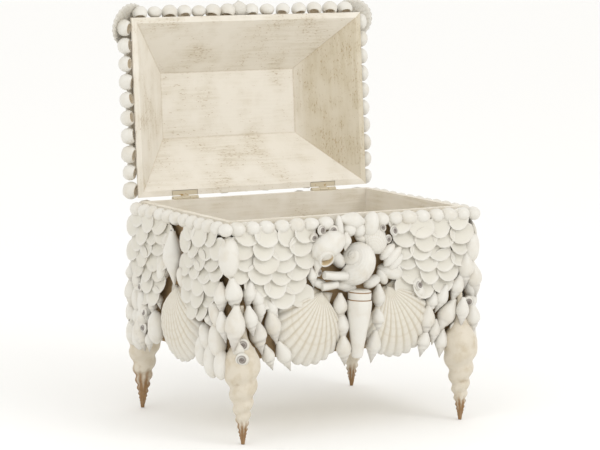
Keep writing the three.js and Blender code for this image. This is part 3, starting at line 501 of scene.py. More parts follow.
def cup_mesh(name, width, length, depth, sides=14):
    """A cup shell as a shallow dish with its hollow side out and a rounded lip."""
    angle = np.linspace(0, 2 * np.pi, sides, endpoint=False)
    # share of the radius, height, and how hollow it is, from the dish's middle to its back; the hollow colour,
    # laid deepest in the middle, is partly painted shade
    profile = [
        (0.35, 0.44, 1.0),
        (0.72, 0.62, 0.75),
        (0.9, 0.9, 0.2),
        (0.97, 1.0, 0.0),
        (1.0, 0.86, 0.0),
        (0.88, 0.45, 0.0),
        (0.45, 0.05, 0.0),
    ]
    across, along = width / 2 * np.cos(angle) * (1 + 0.06 * np.sin(angle)), length / 2 * np.sin(angle)
    rows = [
        np.stack([share * across, share * along, np.full(sides, height * depth)], axis=1)
        for share, height, _ in profile
    ]
    return tidy_mesh(grid_mesh(name, np.array(rows), [value for *_, value in profile]))


def turned_mesh(name, profile, sides=32, hollow=0.0, lean=0.0):
    """A shell turned about Y from points of radius and height, bent sideways by lean."""
    angle = np.linspace(0, 2 * np.pi, sides, endpoint=False)
    rows = [
        np.stack(
            [radius * np.cos(angle) + lean * height**2, np.full(sides, height), -radius * np.sin(angle)],
            axis=1,
        )
        for radius, height in profile
    ]
    return tidy_mesh(grid_mesh(name, np.array(rows), np.broadcast_to(hollow, len(rows))))


def add_object(name, mesh):
    thing = bpy.data.objects.new(name, mesh)
    bpy.context.scene.collection.objects.link(thing)
    return thing


def place_mesh(mesh, matrix):
    mesh.transform(matrix)
    mesh.update()
    return mesh


def button_mesh(name, width):
    """A small round snail seen from above its spire: a low dome with a dark spiral."""
    share = np.array([1.0, 0.96, 0.86, 0.74, 0.62, 0.5, 0.4, 0.3, 0.2, 0.1])[::-1, None]
    angle = np.linspace(0, 2 * np.pi, 14, endpoint=False)[None]
    seam = 0.5 + 0.5 * np.cos(2 * np.pi * (np.log(share) / math.log(0.5) + angle / (2 * np.pi)))
    dome = 0.46 * np.sqrt(np.maximum(1 - share**2, 0)) - 0.07 * seam * (share < 0.95)
    points = width / 2 * np.stack([share * np.cos(angle), share * np.sin(angle), dome], axis=2)
    shade = np.clip(0.85 * seam + 1.2 * (1 - share / 0.6), 0, 1) * (share < 0.9)
    return tidy_mesh(grid_mesh(name, points, shade))


def joined(name, meshes):
    """One mesh from several, which keeps their UV maps and attributes."""
    whole = bmesh.new()
    for mesh in meshes:
        whole.from_mesh(mesh)
        bpy.data.meshes.remove(mesh)
    mesh = bpy.data.meshes.new(name)
    whole.to_mesh(mesh)
    whole.free()
    mesh.shade_smooth()
    return mesh


def finish_piece(thing, body, nodes, material=None):
    """Makes a piece ride on its body in the place of its CAD nodes."""
    if material:
        thing.data.materials.clear()
        thing.data.materials.append(material)
    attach(thing, body)
    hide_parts(*nodes)
    return thing


def turned_frame(place, turn):
    """A frame at a place; turn is the tilt about X, the roll about Y and the swing about Z."""
    tilt, roll, swing = (angle * DEGREE for angle in turn)
    return (
        Matrix.Translation(place)
        @ Matrix.Rotation(swing, 4, "Z")
        @ Matrix.Rotation(tilt, 4, "X")
        @ Matrix.Rotation(roll, 4, "Y")
    )


def put(node_name, mesh, wall, place, turn, body="chest", slot="white_shell", finish="smooth_shell"):
    """Sets one modelled shell on a wall, in the place of its CAD node."""
    thing = add_object(mesh.name, place_mesh(mesh, wall @ turned_frame(place, turn)))
    return finish_piece(thing, body, [node_name], finish_named(finish))


# Shells set on points by Geometry Nodes.


class Spots:
    """Places for small shells: each has a frame, a turn, a size and the number of its kind."""

    def __init__(self):
        self.places, self.turns, self.sizes, self.kinds = [], [], [], []

    def add(self, wall, along, up, out, turn=(0, 0, 0), size=1.0, kind=0):
        place, rotation, _ = (wall @ turned_frame((along, up, out), turn)).decompose()
        self.places.append(place)
        self.turns.append(rotation.to_euler())
        self.sizes.append(size * MM)
        self.kinds.append(kind)

    def mesh(self, name):
        mesh = bpy.data.meshes.new(name)
        mesh.from_pydata([tuple(place) for place in self.places], [], [])
        for label, kind, field, values in (
            ("turn", "FLOAT_VECTOR", "vector", [value for turn in self.turns for value in turn]),
            ("size", "FLOAT", "value", self.sizes),
            ("kind", "INT", "value", self.kinds),
        ):
            mesh.attributes.new(label, kind, "POINT").data.foreach_set(field, values)
        return mesh


def node(tree, kind, inputs=(), **settings):
    """Adds a node with its settings.

    Each input, by name or number, is a value, a socket to link or a node, which stands for its
    first output in use.
    """
    made = tree.nodes.new(kind)
    for key, value in settings.items():
        setattr(made, key, value)
    for key, value in dict(inputs).items():
        if isinstance(value, bpy.types.Node):
            value = next(output for output in value.outputs if output.enabled)
        if isinstance(value, bpy.types.NodeSocket):
            tree.links.new(value, made.inputs[key])
        else:
            made.inputs[key].default_value = value
    return made


def shells_on_points():
    """The tree that sets shells from a collection on points, each a little different."""
    tree = bpy.data.node_groups.get("Shells on points")
    if tree:
        return tree
    tree = bpy.data.node_groups.new("Shells on points", "GeometryNodeTree")
    for label, kind in (
        ("Points", "Geometry"),
        ("Shells", "Collection"),
        ("Size spread", "Float"),
        ("Turn spread", "Float"),
        ("Seed", "Int"),
        ("Finish", "Material"),
    ):
        tree.interface.new_socket(label, in_out="INPUT", socket_type="NodeSocket" + kind)
    tree.interface.new_socket("Geometry", in_out="OUTPUT", socket_type="NodeSocketGeometry")
    entry = node(tree, "NodeGroupInput").outputs
    turn, size, kind = (
        node(tree, "GeometryNodeInputNamedAttribute", {"Name": label}, data_type=data_type)
        for label, data_type in (("turn", "FLOAT_VECTOR"), ("size", "FLOAT"), ("kind", "INT"))
    )
    shells = node(
        tree,
        "GeometryNodeCollectionInfo",
        {"Collection": entry["Shells"], "Separate Children": True, "Reset Children": True},
    )
    lowest = node(tree, "ShaderNodeMath", {0: 1.0, 1: entry["Size spread"]}, operation="SUBTRACT")
    highest = node(tree, "ShaderNodeMath", {0: 1.0, 1: entry["Size spread"]}, operation="ADD")
    share = node(
        tree,
        "FunctionNodeRandomValue",
        {"Min": lowest, "Max": highest, "Seed": entry["Seed"]},
        data_type="FLOAT",
    )
    back = node(tree, "ShaderNodeMath", {0: entry["Turn spread"], 1: -1.0}, operation="MULTIPLY")
    wobble = node(
        tree,
        "FunctionNodeRandomValue",
        {"Min": back, "Max": entry["Turn spread"], "Seed": entry["Seed"]},
        data_type="FLOAT_VECTOR",
    )
    instances = node(
        tree,
        "GeometryNodeInstanceOnPoints",
        {
            "Points": entry["Points"],
            "Instance": shells,
            "Pick Instance": True,
            "Instance Index": kind,
            "Rotation": node(
                tree,
                "FunctionNodeRotateRotation",
                {"Rotation": turn, "Rotate By": wobble},
                rotation_space="LOCAL",
            ),
            "Scale": node(tree, "ShaderNodeMath", {0: size, 1: share}, operation="MULTIPLY"),
        },
    )
    tone = node(tree, "FunctionNodeRandomValue", {"Seed": entry["Seed"]}, data_type="FLOAT")
    toned = node(
        tree,
        "GeometryNodeStoreNamedAttribute",
        {"Geometry": instances, "Name": "tone", "Value": tone},
        data_type="FLOAT",
        domain="INSTANCE",
    )
    real = node(tree, "GeometryNodeRealizeInstances", {"Geometry": toned})
    done = node(tree, "GeometryNodeSetMaterial", {"Geometry": real, "Material": entry["Finish"]})
    node(tree, "NodeGroupOutput", {"Geometry": done})
    return tree


def set_shells(name, spots, kinds, material, seed_step=0, turn_spread=None):
    """Sets the kinds of shells on the spots and returns the whole as one plain mesh object.

    turn_spread is in degrees, in place of the user's.
    """
    sizes = bpy.context.scene.shell_box_sizes
    store = bpy.data.collections.new(name + "_kinds")
    for index, mesh in enumerate(kinds):
        store.objects.link(bpy.data.objects.new(f"{name}_kind_{index:02d}", mesh))
    points = add_object(name + "_points", spots.mesh(name + "_points"))
    setter = points.modifiers.new("Shells", "NODES")
    setter.node_group = shells_on_points()
    values = {
        "Shells": store,
        "Size spread": sizes.size_spread,
        "Turn spread": sizes.turn_spread if turn_spread is None else turn_spread * DEGREE,
        "Seed": sizes.seed + seed_step,
        "Finish": material,
    }
    for socket in setter.node_group.interface.items_tree:
        if socket.in_out == "INPUT" and socket.name in values:
            setter[socket.identifier] = values[socket.name]
    bpy.context.view_layer.update()
    evaluated = points.evaluated_get(bpy.context.evaluated_depsgraph_get())
    mesh = bpy.data.meshes.new_from_object(evaluated)
    if not mesh.polygons:
        raise RuntimeError(f"{name} came out empty")
    mesh.name = name
    points.modifiers.clear()
    bpy.data.objects.remove(points)
    for master in list(store.objects):
        bpy.data.objects.remove(master)
    bpy.data.collections.remove(store)
    return add_object(name, mesh)


# Finishes.


def new_material(name):
    material = bpy.data.materials.new(name)
    material.use_nodes = True
    material.node_tree.nodes.clear()
    return material, material.node_tree


def set_surface(tree, inputs):
    """Adds the one shader, with even values set on its own sockets, and the material's output."""
    shader = node(tree, "ShaderNodeBsdfPrincipled", inputs)
    node(tree, "ShaderNodeOutputMaterial", {"Surface": shader})


def shell_material(name, outer, stain, inner, roughness=0.42, lines=0.25, patches=0.55):
    """Aragonite shell, washed pale by the sea: a soft gloss, cloudy stains and fine growth lines.

    The stains are about 12 mm wide and the pits under half a millimetre, drawn twice as coarse as
    they are so that they show.
    """
    material, tree = new_material(name)
    place = node(tree, "ShaderNodeTexCoord").outputs["Object"]
    growth = node(tree, "ShaderNodeUVMap", uv_map="growth")
    along = node(tree, "ShaderNodeSeparateXYZ", {0: growth}).outputs["Y"]
    tone = node(tree, "ShaderNodeAttribute", attribute_name="tone").outputs["Fac"]
    hollow = node(tree, "ShaderNodeAttribute", attribute_name="hollow").outputs["Fac"]
    clouds = node(tree, "ShaderNodeTexNoise", {"Vector": place, "Scale": 1 / (12 * MM), "Detail": 4.0})
    stained = node(
        tree, "ShaderNodeMapRange", {"Value": clouds, "From Min": 0.46, "From Max": 0.74, "To Max": patches}
    )
    own = node(
        tree, "ShaderNodeMapRange", {"Value": tone, "From Min": 0.55, "From Max": 1.0, "To Max": 0.3}
    )
    both = node(tree, "ShaderNodeMath", {0: stained, 1: own}, operation="ADD", use_clamp=True)
    skin = node(tree, "ShaderNodeMix", {0: both, 6: outer, 7: stain}, data_type="RGBA")
    # inner is laid where hollow asks: real mouths, tips and bands, and painted shade in seams and cup dishes
    lining = node(tree, "ShaderNodeMix", {0: hollow, 6: skin, 7: inner}, data_type="RGBA")
    gloss = node(
        tree, "ShaderNodeMapRange", {"Value": clouds, "To Min": roughness - 0.1, "To Max": roughness + 0.16}
    )
    line = node(tree, "ShaderNodeMath", {0: along, 1: 9.0}, operation="MULTIPLY")
    wave = node(tree, "ShaderNodeMath", {0: line}, operation="SINE")
    pits = node(tree, "ShaderNodeTexNoise", {"Vector": place, "Scale": 1 / (0.9 * MM), "Detail": 2.0})
    relief = node(tree, "ShaderNodeMath", {0: wave, 1: lines, 2: pits}, operation="MULTIPLY_ADD")
    bump = node(tree, "ShaderNodeBump", {"Height": relief, "Strength": 0.35, "Distance": 0.25 * MM})
    inputs = {"Base Color": lining, "Roughness": gloss, "Normal": bump, "IOR": 1.53}
    set_surface(tree, inputs | {"Coat Weight": 0.12, "Coat Roughness": 0.25})
    return material


def ribbed_material(name, crest, groove, edge, depth=0.7):
    """Scallop and cockle shell: chalky ribs with tan painted shade in the grooves, and darker growth bands."""
    material, tree = new_material(name)
    place = node(tree, "ShaderNodeTexCoord").outputs["Object"]
    growth = node(tree, "ShaderNodeUVMap", uv_map="growth")
    split = node(tree, "ShaderNodeSeparateXYZ", {0: growth}).outputs
    hollow = node(tree, "ShaderNodeAttribute", attribute_name="hollow").outputs["Fac"]
    turn = node(tree, "ShaderNodeMath", {0: split["X"], 1: 2 * math.pi}, operation="MULTIPLY")
    wave = node(tree, "ShaderNodeMath", {0: turn}, operation="COSINE")
    # painted shade: the grooves between the ribs take the groove colour
    between = node(
        tree, "ShaderNodeMapRange", {"Value": wave, "From Min": 0.25, "From Max": 1.0, "To Max": depth}
    )
    ribs = node(tree, "ShaderNodeMix", {0: between, 6: crest, 7: groove}, data_type="RGBA")
    along = node(tree, "ShaderNodeCombineXYZ", {"Y": split["Y"]})
    bands = node(tree, "ShaderNodeTexNoise", {"Vector": along, "Scale": 14.0, "Detail": 3.0})
    banded = node(
        tree, "ShaderNodeMapRange", {"Value": bands, "From Min": 0.5, "From Max": 0.75, "To Max": 0.5}
    )
    aged = node(tree, "ShaderNodeMix", {0: banded, 6: ribs, 7: groove}, data_type="RGBA")
    inside = node(tree, "ShaderNodeMath", {0: hollow, 1: 0.7 * depth}, operation="MULTIPLY")
    lining = node(tree, "ShaderNodeMix", {0: inside, 6: aged, 7: groove}, data_type="RGBA")
    rim = node(
        tree, "ShaderNodeMapRange", {"Value": split["Y"], "From Min": 0.72, "From Max": 1.0, "To Max": 0.75}
    )
    skin = node(tree, "ShaderNodeMix", {0: rim, 6: lining, 7: edge}, data_type="RGBA")
    pits = node(tree, "ShaderNodeTexNoise", {"Vector": place, "Scale": 1 / (1.1 * MM), "Detail": 3.0})
    gloss = node(tree, "ShaderNodeMapRange", {"Value": pits, "To Min": 0.42, "To Max": 0.66})
    fine = node(tree, "ShaderNodeMath", {0: split["Y"], 1: 230.0}, operation="MULTIPLY")
    steps = node(tree, "ShaderNodeMath", {0: fine}, operation="SINE")
    relief = node(tree, "ShaderNodeMath", {0: steps, 1: 0.3, 2: pits}, operation="MULTIPLY_ADD")
    bump = node(tree, "ShaderNodeBump", {"Height": relief, "Strength": 0.4, "Distance": 0.3 * MM})
    inputs = {"Base Color": skin, "Roughness": gloss, "Normal": bump, "IOR": 1.53}
    set_surface(tree, inputs | {"Coat Weight": 0.06, "Coat Roughness": 0.35})
    return material


def leg_material(name, colours):
    """Spindle shell, rubbed and dirty: beige with darker clouds and an orange-brown tip."""
    material, tree = new_material(name)
    place = node(tree, "ShaderNodeTexCoord").outputs["Object"]
    hollow = node(tree, "ShaderNodeAttribute", attribute_name="hollow").outputs["Fac"]
    clouds = node(tree, "ShaderNodeTexNoise", {"Vector": place, "Scale": 1 / (9 * MM), "Detail": 6.0})
    dirty = node(
        tree, "ShaderNodeMapRange", {"Value": clouds, "From Min": 0.45, "From Max": 0.75, "To Max": 0.6}
    )
    body = node(tree, "ShaderNodeMix", {0: dirty, 6: colours.leg, 7: colours.leg_dark}, data_type="RGBA")
    # hollow is the worn tip and, in the seams, a little painted shade
    worn_off = node(tree, "ShaderNodeMath", {0: hollow, 1: 1.6, 2: clouds}, operation="MULTIPLY_ADD")
    tip = node(
        tree, "ShaderNodeMapRange", {"Value": worn_off, "From Min": 0.75, "From Max": 1.3, "To Max": 0.95}
    )
    worn = node(tree, "ShaderNodeMix", {0: tip, 6: body, 7: colours.leg_tip}, data_type="RGBA")
    gloss = node(tree, "ShaderNodeMapRange", {"Value": clouds, "To Min": 0.34, "To Max": 0.62})
    pits = node(tree, "ShaderNodeTexNoise", {"Vector": place, "Scale": 1 / (1.3 * MM), "Detail": 3.0})
    bump = node(tree, "ShaderNodeBump", {"Height": pits, "Strength": 0.5, "Distance": 0.5 * MM})
    inputs = {"Base Color": worn, "Roughness": gloss, "Normal": bump, "IOR": 1.53}
    set_surface(tree, inputs | {"Coat Weight": 0.1, "Coat Roughness": 0.3})
    return material


def wood_material(name, colours, for_lid):
    """Thin boards under a limewash: brushed along the grain, worn to brown wood at flecks and joints.

    The chest's outer walls, which the shells hide, are left bare. Grain lines are about 1.5 mm apart.
    """
    material, tree = new_material(name)
    place = node(tree, "ShaderNodeTexCoord").outputs["Object"]
    if for_lid:
        shift = HINGE_POINT - Matrix.Rotation(LID_TURN, 3, "X") @ HINGE_POINT
        place = node(
            tree, "ShaderNodeMapping", {"Vector": place, "Location": shift, "Rotation": (LID_TURN, 0, 0)}
        )
    middle = (0, CENTRE_Y, RIM_Z + (LID_GAP * MM if for_lid else 0))
    centred = node(tree, "ShaderNodeVectorMath", {0: place, 1: middle}, operation="SUBTRACT")
    split = node(tree, "ShaderNodeSeparateXYZ", {0: centred}).outputs

    # how far inside the edge a point lies, as a share of the sloping board's width
    inward = []
    for axis, half, panel in (("X", HALF_WIDTH, PANEL_HALF_WIDTH), ("Y", HALF_DEPTH, PANEL_HALF_DEPTH)):
        start, end = (half - LID_RIM, panel) if for_lid else (half, half - 1)
        far = node(tree, "ShaderNodeMath", {0: split[axis]}, operation="ABSOLUTE")
        span = {"Value": far, "From Min": start * MM, "From Max": end * MM}
        inward.append(node(tree, "ShaderNodeMapRange", span, clamp=False))
    both = dict(enumerate(inward))
    least = node(tree, "ShaderNodeMath", both, operation="MINIMUM")
    side = node(tree, "ShaderNodeMath", both, operation="LESS_THAN")
    if for_lid:
        on_slope = node(tree, "ShaderNodeMath", {0: least, 1: 0.999}, operation="LESS_THAN")
        side = node(tree, "ShaderNodeMath", {0: side, 1: on_slope}, operation="MULTIPLY")
    long_way, short_way = (
        node(tree, "ShaderNodeCombineXYZ", {"X": split[a], "Y": split[b], "Z": split["Z"]})
        for a, b in ("XY", "YX")
    )
    board = node(tree, "ShaderNodeMix", {0: side, 4: long_way, 5: short_way}, data_type="VECTOR")

    stretched = node(tree, "ShaderNodeMapping", {"Vector": board, "Scale": (0.07, 1, 1)})
    grain = node(tree, "ShaderNodeTexNoise", {"Vector": stretched, "Scale": 1 / (3 * MM), "Detail": 8.0})
    patches = node(tree, "ShaderNodeTexNoise", {"Vector": board, "Scale": 1 / (34 * MM), "Detail": 5.0})
    drawn_out = node(tree, "ShaderNodeMapping", {"Vector": board, "Scale": (0.42, 1, 1)})
    flecks = node(
        tree,
        "ShaderNodeTexNoise",
        {"Vector": drawn_out, "Scale": 1 / (1.4 * MM), "Detail": 3.0, "Roughness": 0.6},
    )
    thin = node(
        tree, "ShaderNodeMapRange", {"Value": patches, "From Min": 0.38, "From Max": 0.66, "To Max": 0.75}
    )
    brushed = node(
        tree, "ShaderNodeMapRange", {"Value": grain, "From Min": 0.38, "From Max": 0.7, "To Min": 0.25}
    )
    washed = node(tree, "ShaderNodeMath", {0: thin, 1: brushed}, operation="MULTIPLY")
    # the lid's right board is the most worn, with more flecks of bare wood; the darker wash over the whole
    # board is painted shade
    wear = 0.04 if for_lid else 0.0
    right = node(
        tree,
        "ShaderNodeMapRange",
        {"Value": split["X"], "From Min": 80 * MM, "From Max": 95 * MM, "To Max": wear},
    )
    right = node(tree, "ShaderNodeMath", {0: right, 1: side}, operation="MULTIPLY")
    # painted shade: the right board's whole wash is darkened towards worn paint
    washed = node(
        tree, "ShaderNodeMath", {0: right, 1: 17.0, 2: washed}, operation="MULTIPLY_ADD", use_clamp=True
    )
    paint = node(
        tree, "ShaderNodeMix", {0: washed, 6: colours.paint, 7: colours.paint_dark}, data_type="RGBA"
    )
    # paint is gone where a fleck falls in a thin patch; the chest's inside is better kept
    fleck_floor = node(
        tree,
        "ShaderNodeMapRange",
        {"Value": patches, "From Min": 0.3, "From Max": 0.7, "To Min": 0.76 - wear, "To Max": 0.58 - wear},
    )
    gone = node(tree, "ShaderNodeMath", {0: flecks, 1: right}, operation="ADD")
    gone = node(tree, "ShaderNodeMath", {0: gone, 1: fleck_floor}, operation="SUBTRACT")
    gone = node(tree, "ShaderNodeMapRange", {"Value": gone, "From Max": 0.08, "To Max": 0.6})

    if for_lid:
        # the joints between the sloping boards, and the line round the flat panel
        joint = node(tree, "ShaderNodeMath", {0: inward[0], 1: inward[1]}, operation="SUBTRACT")
        joint = node(tree, "ShaderNodeMath", {0: joint}, operation="ABSOLUTE")
        joint = node(
            tree, "ShaderNodeMapRange", {"Value": joint, "From Min": 0.03, "From Max": 0.008, "To Max": 0.2}
        )
        inside = node(tree, "ShaderNodeMath", {0: least, 1: 0.0}, operation="GREATER_THAN")
        joint = node(tree, "ShaderNodeMath", {0: joint, 1: on_slope}, operation="MULTIPLY")
        joint = node(tree, "ShaderNodeMath", {0: joint, 1: inside}, operation="MULTIPLY")
        line = node(tree, "ShaderNodeMath", {0: least, 1: 1.0}, operation="SUBTRACT")
        line = node(tree, "ShaderNodeMath", {0: line}, operation="ABSOLUTE")
        line = node(
            tree, "ShaderNodeMapRange", {"Value": line, "From Min": 0.025, "From Max": 0.006, "To Max": 0.25}
        )
        joint = node(tree, "ShaderNodeMath", {0: joint, 1: line}, operation="MAXIMUM")
        broken = node(
            tree, "ShaderNodeMapRange", {"Value": flecks, "From Min": 0.35, "From Max": 0.55, "To Min": 0.3}
        )
        joint = node(tree, "ShaderNodeMath", {0: joint, 1: broken}, operation="MULTIPLY")
        gone = node(tree, "ShaderNodeMath", {0: gone, 1: joint}, operation="MAXIMUM")
        # the outer faces lie 2 mm or more above the hollow
        within = node(tree, "ShaderNodeClamp", {"Value": least})
        hollow = node(tree, "ShaderNodeMath", {0: within, 1: LID_HOLLOW * MM}, operation="MULTIPLY")
        outside = node(tree, "ShaderNodeMath", {0: split["Z"], 1: hollow}, operation="SUBTRACT")
        outside = node(
            tree,
            "ShaderNodeMapRange",
            {"Value": outside, "From Min": 2.0 * MM, "From Max": 3.0 * MM, "To Max": 0.4},
        )
    else:
        # the outer faces below the rim shells, painted thinly on the back
        outside = node(tree, "ShaderNodeMapRange", {"Value": least, "From Min": 0.7, "From Max": 0.3})
        lower = node(
            tree, "ShaderNodeMapRange", {"Value": split["Z"], "From Min": -11 * MM, "From Max": -15 * MM}
        )
        outside = node(tree, "ShaderNodeMath", {0: outside, 1: lower}, operation="MULTIPLY")
        face = HALF_DEPTH * MM
        back = node(
            tree,
            "ShaderNodeMapRange",
            {"Value": split["Y"], "From Min": face - MM, "From Max": face, "To Min": 1.0, "To Max": 0.4},
        )
        outside = node(tree, "ShaderNodeMath", {0: outside, 1: back}, operation="MULTIPLY")
    bare = node(tree, "ShaderNodeMath", {0: gone, 1: outside}, operation="MAXIMUM")
    dark_wood = [channel * 0.6 for channel in colours.wood[:3]] + [1.0]
    streaks = node(tree, "ShaderNodeMix", {0: grain, 6: colours.wood, 7: dark_wood}, data_type="RGBA")
    skin = node(tree, "ShaderNodeMix", {0: bare, 6: paint, 7: streaks}, data_type="RGBA")
    dull = node(tree, "ShaderNodeMapRange", {"Value": bare, "To Min": 0.62, "To Max": 0.85})
    relief = node(tree, "ShaderNodeMath", {0: bare, 1: -0.7, 2: grain}, operation="MULTIPLY_ADD")
    bump = node(tree, "ShaderNodeBump", {"Height": relief, "Strength": 0.5, "Distance": 0.5 * MM})
    set_surface(tree, {"Base Color": skin, "Roughness": dull, "Normal": bump, "IOR": 1.5})
    return material


def brass_material(name, colours):
    """Rolled brass leaf under the same limewash, which has rubbed off in patches 4 mm wide."""
    material, tree = new_material(name)
    place = node(tree, "ShaderNodeTexCoord").outputs["Object"]
    clouds = node(tree, "ShaderNodeTexNoise", {"Vector": place, "Scale": 1 / (4 * MM), "Detail": 5.0})
    bare = node(tree, "ShaderNodeMapRange", {"Value": clouds, "From Min": 0.61, "From Max": 0.7})
    skin = node(tree, "ShaderNodeMix", {0: bare, 6: colours.paint_dark, 7: colours.brass}, data_type="RGBA")
    gloss = node(tree, "ShaderNodeMapRange", {"Value": bare, "To Min": 0.65, "To Max": 0.42})
    set_surface(tree, {"Base Color": skin, "Metallic": bare, "Roughness": gloss})
    return material


def finish_named(name):
    """The finishes are made once, when the first piece asks for one."""
    made = bpy.data.materials.get(name)
    if made:
        return made
    colours = bpy.context.scene.shell_box_colours
    white, warm, groove = colours.white, colours.warm, colours.scallop_groove_shade_and_tan
    makers = {
        "bleached_shell": lambda: shell_material(name, white, warm, colours.spire),
        "cup_shell": lambda: shell_material(name, white, warm, colours.hollow, lines=0.0, patches=0.4),
        "smooth_shell": lambda: shell_material(name, white, warm, colours.mouth, roughness=0.34),
        "banded_shell": lambda: shell_material(name, white, warm, colours.leg_tip, roughness=0.34),
        "scallop_shell": lambda: ribbed_material(name, colours.scallop, groove, white),
        "cockle_shell": lambda: ribbed_material(name, white, groove, white, depth=0.25),
        "spindle_leg_shell": lambda: leg_material(name, colours),
        "limewashed_chest": lambda: wood_material(name, colours, False),
        "limewashed_lid": lambda: wood_material(name, colours, True),
        "tarnished_brass": lambda: brass_material(name, colours),
    }
    return makers[name]()


# The steps. Each one makes a piece, or a group of like pieces.


class FinishWood(bpy.types.Operator):
    """Finish the chest's and the lid's boards and the two hinges"""

    bl_idname = "shell_box.finish_wood"
    bl_label = "Finish wood and hinges"

    def execute(self, context):
        for name, thing in frame["nodes"].items():
            finish = {"box_body": "limewashed_chest", "lid_body": "limewashed_lid"}.get(name)
            if name.startswith("hinge_"):
                finish = "tarnished_brass"
            if finish:
                thing.data.materials.clear()
                thing.data.materials.append(finish_named(finish))
        return {"FINISHED"}


LEG_INSET = 10.0  # the foot's centre, in from the chest's side
LEG_OUTSET = 14.0  # and in front of its face, or behind its back
LEG_LEAN = 2.0  # degrees


class MakeLegs(bpy.types.Operator):
    """Make the four spindle shells that the chest stands on"""

    bl_idname = "shell_box.make_legs"
    bl_label = "Make legs"

    def execute(self, context):
        sizes = context.scene.shell_box_sizes
        # the left leg at the back is stained the furthest up
        for index, (side_x, side_y, place, stain_top) in enumerate((
            (-1, -1, "front_left", 0.22),
            (1, -1, "front_right", 0.22),
            (-1, 1, "back_left", 0.4),
            (1, 1, "back_right", 0.22),
        )):
            foot_x, foot_y = side_x * (HALF_WIDTH - LEG_INSET), side_y * (HALF_DEPTH + LEG_OUTSET)
            foot = Vector((foot_x * MM, CENTRE_Y + foot_y * MM, 0))
            lean = Matrix.Rotation(side_y * LEG_LEAN * DEGREE, 4, "X")
            turn = Matrix.Rotation((-60 + 85 * index) * DEGREE, 4, "Z")
            mesh = spindle_mesh(
                f"leg_{place}_shell", sizes.leg_length / MM, sizes.leg_radius / MM, stain_top
            )
            place_mesh(mesh, Matrix.Translation(foot) @ lean @ turn @ Matrix.Scale(MM, 4))
            for vertex in mesh.vertices:
                vertex.co.z = max(vertex.co.z, 0.0)
            mesh.update()
            thing = add_object(mesh.name, mesh)
            finish_piece(
                thing, "chest", ["leg_" + place], finish_named("spindle_leg_shell")
            )
        return {"FINISHED"}


def spindle_mesh(name, length, radius, stain_top):
    """A spindle shell standing on the worn tip of its spire, with its long canal at the top."""
    # the seams take a little painted shade, in the tip's colour
    mesh = spire_mesh(
        name, length, radius, SPINDLE, top=0.47, ratio=0.71, groove=0.19, ribs=(8, 0.11, 0.34),
        stain=(0.95, stain_top, 0.15), sides=56, rows=120,
    )
    return place_mesh(mesh, Matrix.Rotation(QUARTER, 4, "X") @ Matrix.Translation((0, length / 2, 0)))


def bead_kinds(name, sizes):
    """The round rim shells seen from their backs: smooth and egg-shaped, in three proportions."""
    width, height = sizes.bead_width / MM, sizes.bead_height / MM
    angle = np.linspace(0.3, math.pi - 0.3, 7)
    return [
        turned_mesh(
            f"{name}_{i}",
            [
                (math.sin(a) * height / 2 * (1 + lean * math.cos(a)), -math.cos(a) * width / 2 * long)
                for a in angle
            ],
            12,
        )
        for i, (long, lean) in enumerate(((1.0, 0.0), (0.95, 0.12), (1.05, -0.1)))
    ]


def open_bead_mesh(name, width, height, depth):
    """A round rim shell seen from its mouth: a deep bowl that closes in again, open towards Y."""
    profile = [
        (0.3, -0.5, 0.0), (0.7, -0.4, 0.0), (0.95, -0.16, 0.0), (1.0, 0.08, 0.0), (0.92, 0.3, 0.0),
        (0.76, 0.44, 0.0), (0.66, 0.46, 0.1), (0.56, 0.38, 0.4), (0.48, 0.22, 0.65), (0.25, 0.12, 0.75),
    ]
    rows = [(r * width / 2, h * depth) for r, h, _ in profile]
    mesh = turned_mesh(name, rows, 14, [value for *_, value in profile])
    return place_mesh(mesh, Matrix.Scale(height / width, 4, (0, 0, 1)))


CHEST_BEAD_OUT = 6.8  # from the wall to a rim shell's middle
CHEST_BEAD_TURN = (-12, 0, 90)  # degrees of tilt, roll and swing
LID_BEAD_UP = 5.4  # from the lid's edge to a rim shell's middle
LID_BEAD_SPREAD = 1.12  # the lid's rim shells stand a little further apart


